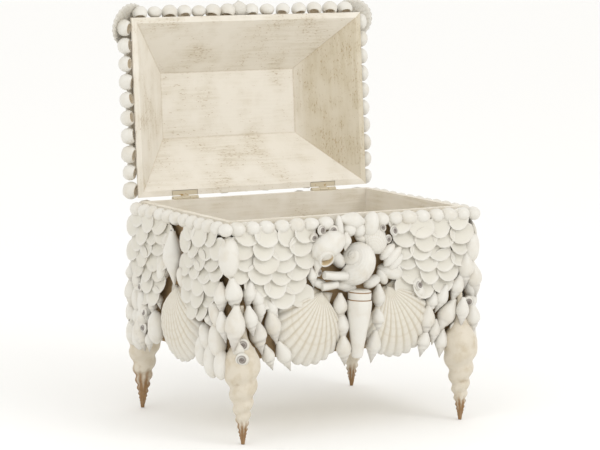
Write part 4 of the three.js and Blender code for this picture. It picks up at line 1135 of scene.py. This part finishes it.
class MakeRimShells(bpy.types.Operator):
    """Make the rows of round shells along the rims of the chest and the lid"""

    bl_idname = "shell_box.make_rim_shells"
    bl_label = "Make rim shells"

    def execute(self, context):
        sizes = context.scene.shell_box_sizes
        pitch, width, height = (
            value / MM for value in (sizes.bead_pitch, sizes.bead_width, sizes.bead_height)
        )
        spots = Spots()
        for wall, start, end, drop in (
            ("front", -HALF_WIDTH + 6, -32, 0),
            ("front", 34, HALF_WIDTH - 6, 0),
            ("left", -HALF_DEPTH + 6, HALF_DEPTH + 8, 0),
            ("right", -HALF_DEPTH - 8, HALF_DEPTH - 6, 0),
            ("back", -HALF_WIDTH + 6, HALF_WIDTH - 6, 3.2),
        ):
            for i, along in enumerate(spread_out(start, end, pitch)):
                up = -height / 2 + 0.2 - drop
                spots.add(WALLS[wall], along, up, CHEST_BEAD_OUT, CHEST_BEAD_TURN, 1.0, i % 3)
        nodes = ["rim_shells_" + end for end in ("front_left", "front_right", "left", "right", "back")]
        thing = set_shells(
            "chest_rim_shells", spots, bead_kinds("bead", sizes), finish_named("smooth_shell")
        )
        finish_piece(thing, "chest", nodes)

        spots = Spots()
        for edge, start, end in (
            ("front", -HALF_WIDTH + 14, -21),
            ("front", 8, HALF_WIDTH - 14),
            ("left", -HALF_DEPTH + 8, HALF_DEPTH - 10),
            ("right", -HALF_DEPTH + 10, HALF_DEPTH - 8),
        ):
            tilt, swing, share = (-48, 150, 0.9) if edge == "front" else (-34, 180, 0.96)
            for i, along in enumerate(spread_out(start, end, pitch * LID_BEAD_SPREAD)):
                # some show their backs and not their mouths
                closed = edge == "right" or edge == "front" and i % 3 == 1 and along < 60
                turn = (0, 0, 90) if closed else (tilt, 0, swing)
                kind = 1 if closed else 0
                spots.add(LID_EDGES[edge], along, height / 2 + 0.9, LID_BEAD_UP, turn, share, kind)
        nodes = ["lid_rim_shells_" + end for end in ("front_left", "front_right", "left", "right")]
        kinds = [open_bead_mesh("lid_bead", width, height, height * 1.05), *bead_kinds("lid_back", sizes)]
        thing = set_shells("lid_rim_beads", spots, kinds, finish_named("smooth_shell"), 1, turn_spread=12)
        finish_piece(thing, "lid", nodes)
        return {"FINISHED"}


def spread_out(start, end, pitch):
    """Evenly spaced places from start to end, about a pitch apart."""
    count = round((end - start) / pitch) + 1
    return [start + (end - start) * i / (count - 1) for i in range(count)]


# A swag's rows of cup shells from the top: how many, and the row's middle as seen on the left
# half of a wall, in millimetres to the right of the swag's middle.
WIDE_SWAG = ((4, -3), (4, 3), (4, -2), (4, 4), (3, -3), (3, -10))
TALL_SWAG = ((3, 0), (4, 1), (3, 1), (4, 0), (3, 0), (3, -2), (2, -4))
PLAIN_SWAG = ((4, 0), (4, 2), (4, -2), (3, -3), (2, -5))
SWAG_OVERLAP = 0.8  # from cup to cup along a row, as a share of a cup's width
SWAG_SAG = 1.7  # how much higher than its middle a row's outer cups hang
SWAG_OUT = 9.0  # from the wall to the middle of a cup
SWAG_TILT = -11  # degrees, so that the cups' lower edges stand out
CUP_DEPTH = 3.4


class MakeSwags(bpy.types.Operator):
    """Make the swags of cup shells on the four walls"""

    bl_idname = "shell_box.make_swags"
    bl_label = "Make swags of cup shells"

    def execute(self, context):
        sizes = context.scene.shell_box_sizes
        width, length, pitch = (value / MM for value in (sizes.cup_width, sizes.cup_length, sizes.cup_pitch))
        chance = np.random.default_rng(sizes.seed)
        for number, (wall, rows, middle) in enumerate((
            ("front", WIDE_SWAG, HALF_WIDTH - 46),
            ("left", TALL_SWAG, HALF_DEPTH - 38),
            ("right", TALL_SWAG, HALF_DEPTH - 38),
            ("back", PLAIN_SWAG, HALF_WIDTH - 46),
        )):
            spots = Spots()
            cups = (
                (side * (middle + shift), row, i, i - (count - 1) / 2)
                for side in (-1, 1)
                for row, (count, shift) in enumerate(rows)
                for i in range(count)
            )
            for start, row, i, step in cups:
                swing = step * (9 + 2.5 * row) + chance.uniform(-10, 10)
                along = start + step * width * SWAG_OVERLAP + chance.uniform(-2, 2)
                up = -5.5 - length / 2 - row * pitch + SWAG_SAG * step**2 + chance.uniform(-1.5, 1.5)
                out = SWAG_OUT + (0.5 if i % 2 else -0.5) - 0.6 * step**2
                turn = (SWAG_TILT, step * 5, swing)
                spots.add(WALLS[wall], along, up, out, turn, 1.0, (row + i) % 3)
            kinds = [
                cup_mesh(f"cup_{i}", width * wider, length * longer, CUP_DEPTH)
                for i, (wider, longer) in enumerate(((1, 1), (1.06, 0.95), (0.95, 1.05)))
            ]
            thing = set_shells(
                f"swags_{wall}", spots, kinds, finish_named("cup_shell"), number, turn_spread=5
            )
            finish_piece(thing, "chest", [f"swag_{wall}_left", f"swag_{wall}_right"])
        return {"FINISHED"}


SCALLOP_BELOW = 13.0  # how far the scallops reach below the wood


class MakeScallops(bpy.types.Operator):
    """Make the large ribbed scallops below the swags"""

    bl_idname = "shell_box.make_scallops"
    bl_label = "Make large scallops"

    def execute(self, context):
        size = context.scene.shell_box_sizes.scallop_size / MM
        top = -CHEST_HEIGHT - SCALLOP_BELOW + size
        for name, wall, along, swing, ribs in (
            ("scallop_front_left", "front", -36, -20, 13),
            ("scallop_front_right", "front", 42, 22, 13),
            ("scallop_left", "left", 0, 8, 14),
            ("scallop_right", "right", 0, -8, 13),
            ("scallop_back", "back", 0, 0, 14),
        ):
            mesh = fan_mesh(name + "_shell", size, 15, ribs, rib_height=2.2, teeth=0.014)
            place, turn = (along, top, 1.2), (0, 0, swing)
            put(name, mesh, WALLS[wall], place, turn, slot="ribbed_shell", finish="scallop_shell")
        return {"FINISHED"}


# Whelks as seen on the front, measured in millimetres to the right of the wall's middle and down
# from the rim: where each one's middle is, how far it swings and its length as a share.
FRONT_WHELKS = (
    (-15, -94, 6, 0.95), (-12, -114, 0, 1.0), (-10, -138, 9, 1.0), (31, -88, -2, 0.9), (30, -110, 2, 1.0),
    (25, -137, -6, 1.05), (-138, -73, 5, 1.25), (-142, -104, -4, 1.3), (-124, -98, 8, 1.0),
    (-109, -90, 12, 0.9), (-110, -116, 12, 1.15), (-93, -108, 20, 1.05), (-98, -138, 18, 0.85),
    (-80, -138, 24, 1.05), (-117, -139, 4, 0.8), (-94, -90, 24, 0.8), (-137, -128, 0, 0.75),
    (-121, -73, -8, 0.95), (-111, -80, 24, 0.85), (-48, -60, 12, 0.7), (80, -86, -6, 0.8),
    (107, -94, -22, 0.95), (90, -116, -8, 1.05), (113, -113, -26, 1.2), (86, -139, -14, 0.95),
    (108, -140, -14, 0.95), (96, -97, -16, 0.8), (128, -108, -8, 0.9), (137, -66, -10, 1.2),
    (148, -76, 4, 1.1), (146, -118, 6, 1.15), (126, -84, -18, 1.0), (132, -134, -4, 0.85),
    (99, -128, -14, 0.8),
)
# Small round snails between them: place and width as a share.
FRONT_BUTTONS = (
    (-39, -13, 1.1), (-25, -14, 1.0), (25, -14, 0.9), (33, -15, 0.9), (47, -19, 1.1), (-134, -121, 1.3),
    (-138, -134, 1.3), (124, -125, 1.3), (140, -99, 1.2), (78, -77, 1.2), (-48, -20, 0.9), (40, -27, 0.9),
    (-42, -56, 0.8),
)
# Smooth shells at the front corners and as filling, as the whelks.
FRONT_OLIVES = (
    (-143, -34, 2, 1.25), (145, -42, -2, 1.1), (-9, -71, 80, 0.75), (-38, -68, 70, 0.6), (24, -70, -60, 0.7),
    (36, -66, 30, 0.6), (12, -26, 70, 0.6), (-18, -44, 40, 0.8), (45, -61, 62, 0.9), (-5, -74, 80, 0.6),
    (54, -60, 20, 0.6),
)
# The kinds of shells, in the order in which MakeWhelks makes them.
SHORT_WHELK, BUTTON, SMOOTH = 2, 3, 4
# As seen on the left wall: the same, with the kind of shell.
LEFT_SHELLS = (
    (-43, -125, 0, 1.15, 4), (-36, -96, 10, 0.6, 0), (-50, -104, 20, 0.7, 1), (-62, -112, 14, 0.8, 0),
    (-20, -36, 0, 0.7, 1), (-8, -22, 0, 0.9, 3), (-76, -133, 4, 0.95, 4), (-58, -142, 8, 0.7, 1),
    (86, -92, 40, 0.9, 4), (66, -118, 30, 1.0, 4), (88, -118, 20, 1.1, 4), (58, -133, 6, 1.0, 4),
    (78, -140, 10, 1.15, 4), (96, -142, -6, 1.0, 4), (100, -104, 8, 1.0, 1), (72, -100, 45, 0.7, 1),
    (95, -76, 6, 1.0, 1), (-26, -62, -14, 0.9, 4), (15, -66, 20, 0.7, 4),
)
SHARED_ALONG = 70  # the right wall has the left wall's shells up to here, mirrored


def corner_whelks(spots, wall, side, seed):
    """Scatters whelks over a corner of a wall, with their spires down and turned to its middle."""
    chance = np.random.default_rng(seed)
    half = WALL_HALF[wall]
    for column in range(4 if half > 120 else 3):
        for row in range(4 - column // 2):
            along = side * (half + 2 - column * 13.5 + chance.uniform(-2, 2))
            up = -CHEST_HEIGHT + 2 + row * 20 - column * 1.5 + chance.uniform(-3, 3)
            out = 8.5 - 1.2 * (column % 2)
            swing = -side * (6 + 7 * column + chance.uniform(-8, 8))
            turn = (0, chance.uniform(-180, 180), swing)
            share = 0.85 + chance.uniform(0, 0.3)
            kind = (0, 1, SMOOTH, SHORT_WHELK, 1)[chance.integers(5)]
            spots.add(WALLS[wall], along, up, out, turn, share, kind)
    for _ in range(5):
        along = side * (half - chance.uniform(0, 40))
        up = -CHEST_HEIGHT + chance.uniform(0, 60)
        spots.add(WALLS[wall], along, up, 12, (0, 0, chance.uniform(0, 360)), 1.0, BUTTON)


class MakeWhelks(bpy.types.Operator):
    """Make the clusters of whelks and small round snails at the corners and on the front"""

    bl_idname = "shell_box.make_whelks"
    bl_label = "Make whelk clusters"

    def execute(self, context):
        sizes = context.scene.shell_box_sizes
        length = sizes.whelk_length / MM
        chance = np.random.default_rng(sizes.seed)
        spots = Spots()
        for index, (along, up, swing, share) in enumerate(FRONT_WHELKS):
            over_leg = 118 < abs(along) < 143 and up < -90
            turn = (0, chance.uniform(-180, 180), swing)
            spots.add(WALLS["front"], along, up, 18 if over_leg else 9, turn, share, index % 2)
        for along, up, share in FRONT_BUTTONS:
            on_leg = along < -120
            out = (26 if up < -130 else 20) if on_leg else 11.5
            turn = (0, -28, 0) if on_leg else (-12, 0, chance.uniform(0, 360))
            spots.add(WALLS["front"], along, up, out, turn, share, BUTTON)
        for along, up, swing, share in FRONT_OLIVES:
            spots.add(WALLS["front"], along, up, 7.5, (0, 0, swing), share, SMOOTH)
        for along, up, swing, share, kind in LEFT_SHELLS:
            spots.add(WALLS["left"], along, up, 8.0, (0, 0, swing), share, kind)
            if abs(along) < SHARED_ALONG:
                spots.add(WALLS["right"], -along, up, 8.0, (0, 0, -swing), share, kind)
        corners = (("left", -1), ("right", -1), ("right", 1), ("back", -1), ("back", 1))
        for seed, (wall, side) in enumerate(corners, 11):
            corner_whelks(spots, wall, side, seed)
        kinds = [
            # stain is the tip's worn stain, the height where it ends, and painted shade in the seams
            spire_mesh(
                f"whelk_{i}", length * longer, radius, WHELK, top, ratio, groove, ribs, stain,
                sides=13, rows=rows,
            )
            for i, (longer, radius, top, ratio, groove, ribs, stain, rows) in enumerate((
                (1.0, 8.0, 0.4, 0.62, 0.15, (9, 0.03, 0.8), (0.55, 0.3, 0.35), 22),
                (1.06, 7.8, 0.36, 0.66, 0.12, (0, 0.0, 1.0), (0.3, 0.35, 0.25), 22),
                (0.82, 8.2, 0.42, 0.6, 0.14, (0, 0.0, 1.0), (0.5, 0.4, 0.3), 20),
            ))
        ]
        kinds.append(button_mesh("button", 10.5))
        kinds.append(spire_mesh("olive", length, 8.5, OLIVE, groove=0.0, sides=14, rows=14))
        nodes = [
            "corner_whelks_" + place for place in ("front_left", "front_right", "back_left", "back_right")
        ]
        nodes += ["whelk_string_left", "whelk_string_right"]
        thing = set_shells("whelk_clusters", spots, kinds, finish_named("bleached_shell"), 5)
        finish_piece(thing, "chest", nodes)
        return {"FINISHED"}


def cone_mesh(name, length, width):
    """A cone shell hanging by its low spire, with two thin brown lines at its shoulder."""
    profile = [
        (0.3, -1.0, 0), (0.38, -0.992, 0), (0.44, -0.96, 0), (0.55, -0.8, 0), (0.68, -0.64, 0),
        (0.82, -0.48, 0), (0.94, -0.34, 0), (1.0, -0.22, 0), (0.985, -0.17, 0), (0.955, -0.155, 0),
        (0.925, -0.15, 1), (0.905, -0.142, 1), (0.925, -0.134, 0), (0.93, -0.09, 0), (0.93, -0.045, 0),
        (0.91, -0.038, 1), (0.9, -0.03, 1), (0.9, -0.022, 0), (0.8, -0.006, 0), (0.5, 0.0, 0),
    ]
    rows = [(r * width / 2, h * length) for r, h, _ in profile]
    return turned_mesh(name, rows, 36, [value for *_, value in profile])


def swung(mesh, place, swing):
    """Moves a part of a joined shell to its place and swings it in the wall's plane."""
    return place_mesh(mesh, turned_frame(place, (0, 0, swing)))


def conch_mesh(name):
    """The conch beside the moon snail: a long body, an open mouth and a broken horn below it."""
    body = spire_mesh("conch_body", 41, 13.5, OLIVE, top=0.16, groove=0.04, sides=28, rows=28)
    profile = [
        (0.35, -0.5, 0), (0.75, -0.42, 0), (0.95, -0.1, 0), (1.0, 0.3, 0), (0.92, 0.46, 0), (0.8, 0.46, 0),
        (0.74, 0.35, 1), (0.7, -0.1, 1), (0.2, -0.3, 1),
    ]
    mouth = turned_mesh(
        "mouth", [(r * 9, h * 16) for r, h, _ in profile], 20, [value for *_, value in profile]
    )
    place_mesh(mouth, turned_frame((-38, -39, 15), (118, 0, 0)))
    horn = spire_mesh("horn", 18, 4.6, WHELK, groove=0.0, sides=14)
    return joined(name, [swung(body, (-31, -29, 11), -62), mouth, swung(horn, (-44, -48, 13), -14)])


def finger_mesh(name):
    """A shell of three thick fingers, side by side."""
    fingers = [
        swung(spire_mesh("finger", length, 5.5, OLIVE, groove=0.0, sides=14, rows=14), place, -48)
        for length, place in ((22, (-5, 5, 0)), (27, (0, 0, 2)), (23, (4.5, -6, 0)))
    ]
    return joined(name, fingers)


def tusks_mesh(name):
    """Two short pieces of tusk shell with broken ends."""
    profile = [(0.6, -0.5), (0.97, -0.5), (1, -0.48), (0.98, 0), (0.95, 0.48), (0.92, 0.5), (0.6, 0.5)]
    tusks = [
        swung(
            turned_mesh("tusk", [(r * width / 2, h * length) for r, h in profile], 6, lean=0.003), place, swing
        )
        for length, width, place, swing in ((27, 9.5, (-25, -60, 16), 84), (18, 9, (-30, -70, 13), 96))
    ]
    return joined(name, tusks)


def bow_mesh(name):
    """The bow of longer shells in the middle of the front rim."""
    shells = [
        swung(
            spire_mesh("bow", length, width / 2, profile, 0.2, groove=0.03, sides=20, rows=22), place, swing
        )
        for length, width, place, swing, profile in (
            (35, 17, (1, -6, 9), 80, WHELK),
            (27, 17, (20, -11, 10), -12, OLIVE),
            (33, 9, (-17, -16, 10), 4, OLIVE),
            (15, 16, (-5, -15, 8), 20, OLIVE),
            (16, 14, (7, -16, 8), -20, OLIVE),
            (19, 12, (-12, -26, 14), -4, WHELK),
        )
    ]
    return joined(name, shells)


class MakeFrontMiddle(bpy.types.Operator):
    """Make the moon snail, the cone shell and the shells round them"""

    bl_idname = "shell_box.make_front_middle"
    bl_label = "Make the front's middle"

    def execute(self, context):
        sizes = context.scene.shell_box_sizes
        front, unturned = WALLS["front"], (0, 0, 0)
        snail = coil_mesh(
            "moon_snail_shell", sizes.moon_snail_width / MM, 1.2, (1.02, 0.85, 1.1), 44, 84, (21, 0.02),
            mouth=0.25, lip=0.04,
        )
        cone = cone_mesh("cone_shell_shell", sizes.cone_length / MM, sizes.cone_width / MM)
        fan = fan_mesh("fan_shell_front_shell", 31, 10, 15, 52, rib_height=0.4, wall=1.2, teeth=0.004)
        conch = conch_mesh("conch_front_shell")
        fingers = finger_mesh("finger_shell_front_shell")
        tusks = tusks_mesh("tusk_shells_front")
        bow = bow_mesh("rim_bow_shells")
        ribbed = {"slot": "ribbed_shell"}
        put("moon_snail", snail, front, (3, -53, 11.7), (-150, 14, 58))
        put("cone_shell", cone, front, (5, -76, 14.5), (0, 0, -2), finish="banded_shell")
        put("conch_front", conch, front, (0, 0, 0), unturned)
        put("fan_shell_front", fan, front, (14, -40, 8), (0, 0, 136), finish="cockle_shell", **ribbed)
        put("finger_shell_front", fingers, front, (44, -45, 12), unturned, **ribbed)
        put("tusk_pieces_front", tusks, front, (0, 0, 0), unturned)
        put("rim_bow", bow, front, (0, 0, 0), unturned)
        for wall, side in (("left", 1), ("right", -1)):
            conch = spire_mesh(
                f"conch_{wall}_shell", 56, 11, WHELK, top=0.3, groove=0.07, sides=28, rows=34
            )
            put(f"conch_{wall}", conch, WALLS[wall], (-3 * side, -48, 9.2), (0, 150, 4 * side))
        return {"FINISHED"}


LIMPET_PITCH = 27.0  # from limpet to limpet, about
LIMPET_ROW = 21.0  # from one row to the next, up the sloping board
LIMPET_FIRST = 30.0  # the first row, above the board's lower edge
LIMPET_OUT = 6.5  # from the board to a limpet's middle
LIMPET_TURN = (-14, 0, 0)  # degrees


class MakeLidShells(bpy.types.Operator):
    """Make the cockles, limpets, scallops and snail on the lid"""

    bl_idname = "shell_box.make_lid_shells"
    bl_label = "Make the lid's shells"

    def execute(self, context):
        ribbed = {"body": "lid", "slot": "ribbed_shell"}
        for side, end in ((-1, "left"), (1, "right")):
            name = "lid_corner_cockle_" + end
            shell = fan_mesh(name + "_shell", 43, 5, 17, 66, rib_height=0.8, wall=1.4, ear=0, teeth=0.015)
            place_mesh(shell, Matrix.Translation((0, 22, 0)))
            place = (side * (HALF_WIDTH - 2), -HALF_DEPTH + 6, 12)
            put(name, shell, LID_PLACE, place, (24, 0, side * 45), finish="cockle_shell", **ribbed)
        shell = fan_mesh("lid_centre_cockle_shell", 21, 9, 15, 60, rib_height=0.5, wall=1.2, ear=0)
        place = (-6, 13, 16)
        put(
            "lid_centre_cockle", shell, LID_EDGES["front"], place, (90, 0, 0), finish="cockle_shell", **ribbed
        )
        for name, wall, place, swing in (
            ("lid_scallop_front", LID_SLOPES["front"], (0, LID_RISE / math.sin(SLOPE_Y) - 3, 1), 0),
            ("lid_top_scallop_left", LID_TOP, (-21, 0, 1), -90),
            ("lid_top_scallop_right", LID_TOP, (21, 0, 1), 90),
        ):
            shell = fan_mesh(name + "_shell", 60, 12, 12, rib_height=1.4)
            put(name, shell, wall, place, (0, 0, swing), finish="scallop_shell", **ribbed)
        snail = coil_mesh("lid_top_snail_shell", 30, 1.0, (1.02, 0.8, 1.05), 40, 60, (15, 0.02))
        put("lid_top_snail", snail, LID_TOP, (0, 0, 5.5), (-105, 45, 20), body="lid")

        spots = Spots()
        for wall in ("front", "back", "left", "right"):
            across = wall in ("left", "right")
            half, end_slope = (HALF_DEPTH, SLOPE_Y) if across else (HALF_WIDTH, SLOPE_X)
            slant = LID_RISE / math.sin(SLOPE_X if across else SLOPE_Y)
            top = outer_half(half, end_slope, LID_RISE)
            for row in range(math.ceil((slant - 8 - LIMPET_FIRST) / LIMPET_ROW)):
                up = LIMPET_FIRST + row * LIMPET_ROW
                width = half + (top - half) * up / slant - 4
                count = max(2, round(2 * width / LIMPET_PITCH))
                for i in range(count):
                    along = -width + 2 * width * (i + 0.5) / count
                    beside_scallop = wall == "front" and abs(along) < 34 and row
                    if not beside_scallop:
                        spots.add(LID_SLOPES[wall], along, up, LIMPET_OUT, LIMPET_TURN, 1.0, (i + row) % 2)
        kinds = [cup_mesh("limpet_0", 33, 30, 5.5), cup_mesh("limpet_1", 31, 32, 5)]
        nodes = ["lid_limpets_" + end for end in ("front_left", "front_right", "left", "right", "back")]
        thing = set_shells("lid_limpet_shells", spots, kinds, finish_named("cup_shell"), 9)
        finish_piece(thing, "lid", nodes)
        return {"FINISHED"}


class MakeStage(bpy.types.Operator):
    """Make the floor, the lights and the camera"""

    bl_idname = "shell_box.make_stage"
    bl_label = "Make stage"

    def execute(self, context):
        scene = context.scene
        stage = scene.shell_box_stage
        scene.view_settings.view_transform = "Standard"
        half, drop = 30.0, 0.0002  # the floor lies a hair below the feet
        mesh = bpy.data.meshes.new("floor")
        corners = [(-half, -half, -drop), (half, -half, -drop), (half, half, -drop), (-half, half, -drop)]
        mesh.from_pydata(corners, [], [(0, 1, 2, 3)])
        material, tree = new_material("floor_paper")
        set_surface(tree, {"Base Color": scene.shell_box_colours.floor, "Roughness": 0.9, "IOR": 1.5})
        mesh.materials.append(material)
        add_object("floor", mesh)

        world = bpy.data.worlds.new("soft_studio")
        world.use_nodes = True
        sky = world.node_tree.nodes["Background"]
        sky.inputs["Color"].default_value = (1.0, 0.99, 0.97, 1.0)
        sky.inputs["Strength"].default_value = stage.sky
        scene.world = world

        middle = Vector((0, 0, 0.2))  # both lamps point here
        for name, place, size, power in (
            ("key", (0.9, -2.1, 1.7), 1.3, stage.key_power),
            ("fill", (-2.0, -0.9, 1.5), 1.6, stage.fill_power),
        ):
            lamp = bpy.data.lights.new(name, "AREA")
            lamp.energy = power
            lamp.size = size
            light = bpy.data.objects.new(name, lamp)
            light.location = place
            light.rotation_euler = (middle - Vector(place)).to_track_quat("-Z", "Y").to_euler()
            scene.collection.objects.link(light)

        camera = bpy.data.objects.new("camera", bpy.data.cameras.new("camera"))
        camera.data.sensor_width = 36
        camera.data.lens = stage.camera_lens
        azimuth, elevation = stage.camera_azimuth, stage.camera_elevation
        ahead = Vector((
            math.sin(azimuth) * math.cos(elevation),
            math.cos(azimuth) * math.cos(elevation),
            math.sin(elevation),
        ))
        right = Vector((math.cos(azimuth), -math.sin(azimuth), 0))
        up = right.cross(ahead)
        roll = stage.camera_roll
        turned_right = right * math.cos(roll) + up * math.sin(roll)
        turned_up = up * math.cos(roll) - right * math.sin(roll)
        axes = Matrix((turned_right, turned_up, -ahead)).transposed().to_4x4()
        camera.matrix_world = Matrix.Translation(stage.camera_place) @ axes
        scene.collection.objects.link(camera)
        scene.camera = camera
        return {"FINISHED"}


STEPS = (
    FinishWood,
    MakeLegs,
    MakeRimShells,
    MakeSwags,
    MakeScallops,
    MakeWhelks,
    MakeFrontMiddle,
    MakeLidShells,
    MakeStage,
)


class ShellBoxPanel(bpy.types.Panel):
    """Lists the steps that make the shell box"""

    bl_idname = "VIEW3D_PT_shell_box"
    bl_label = "Shell box"
    bl_space_type = "VIEW_3D"
    bl_region_type = "UI"
    bl_category = "Shell box"

    def draw(self, context):
        for step in STEPS:
            self.layout.operator(step.bl_idname)
        for group in (
            context.scene.shell_box_sizes,
            context.scene.shell_box_colours,
            context.scene.shell_box_stage,
        ):
            box = self.layout.box()
            for name in group.bl_rna.properties.keys():
                if name not in {"rna_type", "name"}:
                    box.prop(group, name)


CLASSES = (ShellSizes, ShellColours, StageSettings, *STEPS, ShellBoxPanel)


def register():
    for each in CLASSES:
        bpy.utils.register_class(each)
    bpy.types.Scene.shell_box_sizes = PointerProperty(type=ShellSizes)
    bpy.types.Scene.shell_box_colours = PointerProperty(type=ShellColours)
    bpy.types.Scene.shell_box_stage = PointerProperty(type=StageSettings)


def unregister():
    for name in ("shell_box_sizes", "shell_box_colours", "shell_box_stage"):
        delattr(bpy.types.Scene, name)
    for each in reversed(CLASSES):
        bpy.utils.unregister_class(each)


def main():
    register()
    for step in STEPS:
        group, name = step.bl_idname.split(".")
        getattr(getattr(bpy.ops, group), name)()


if __name__ == "__main__":
    main()
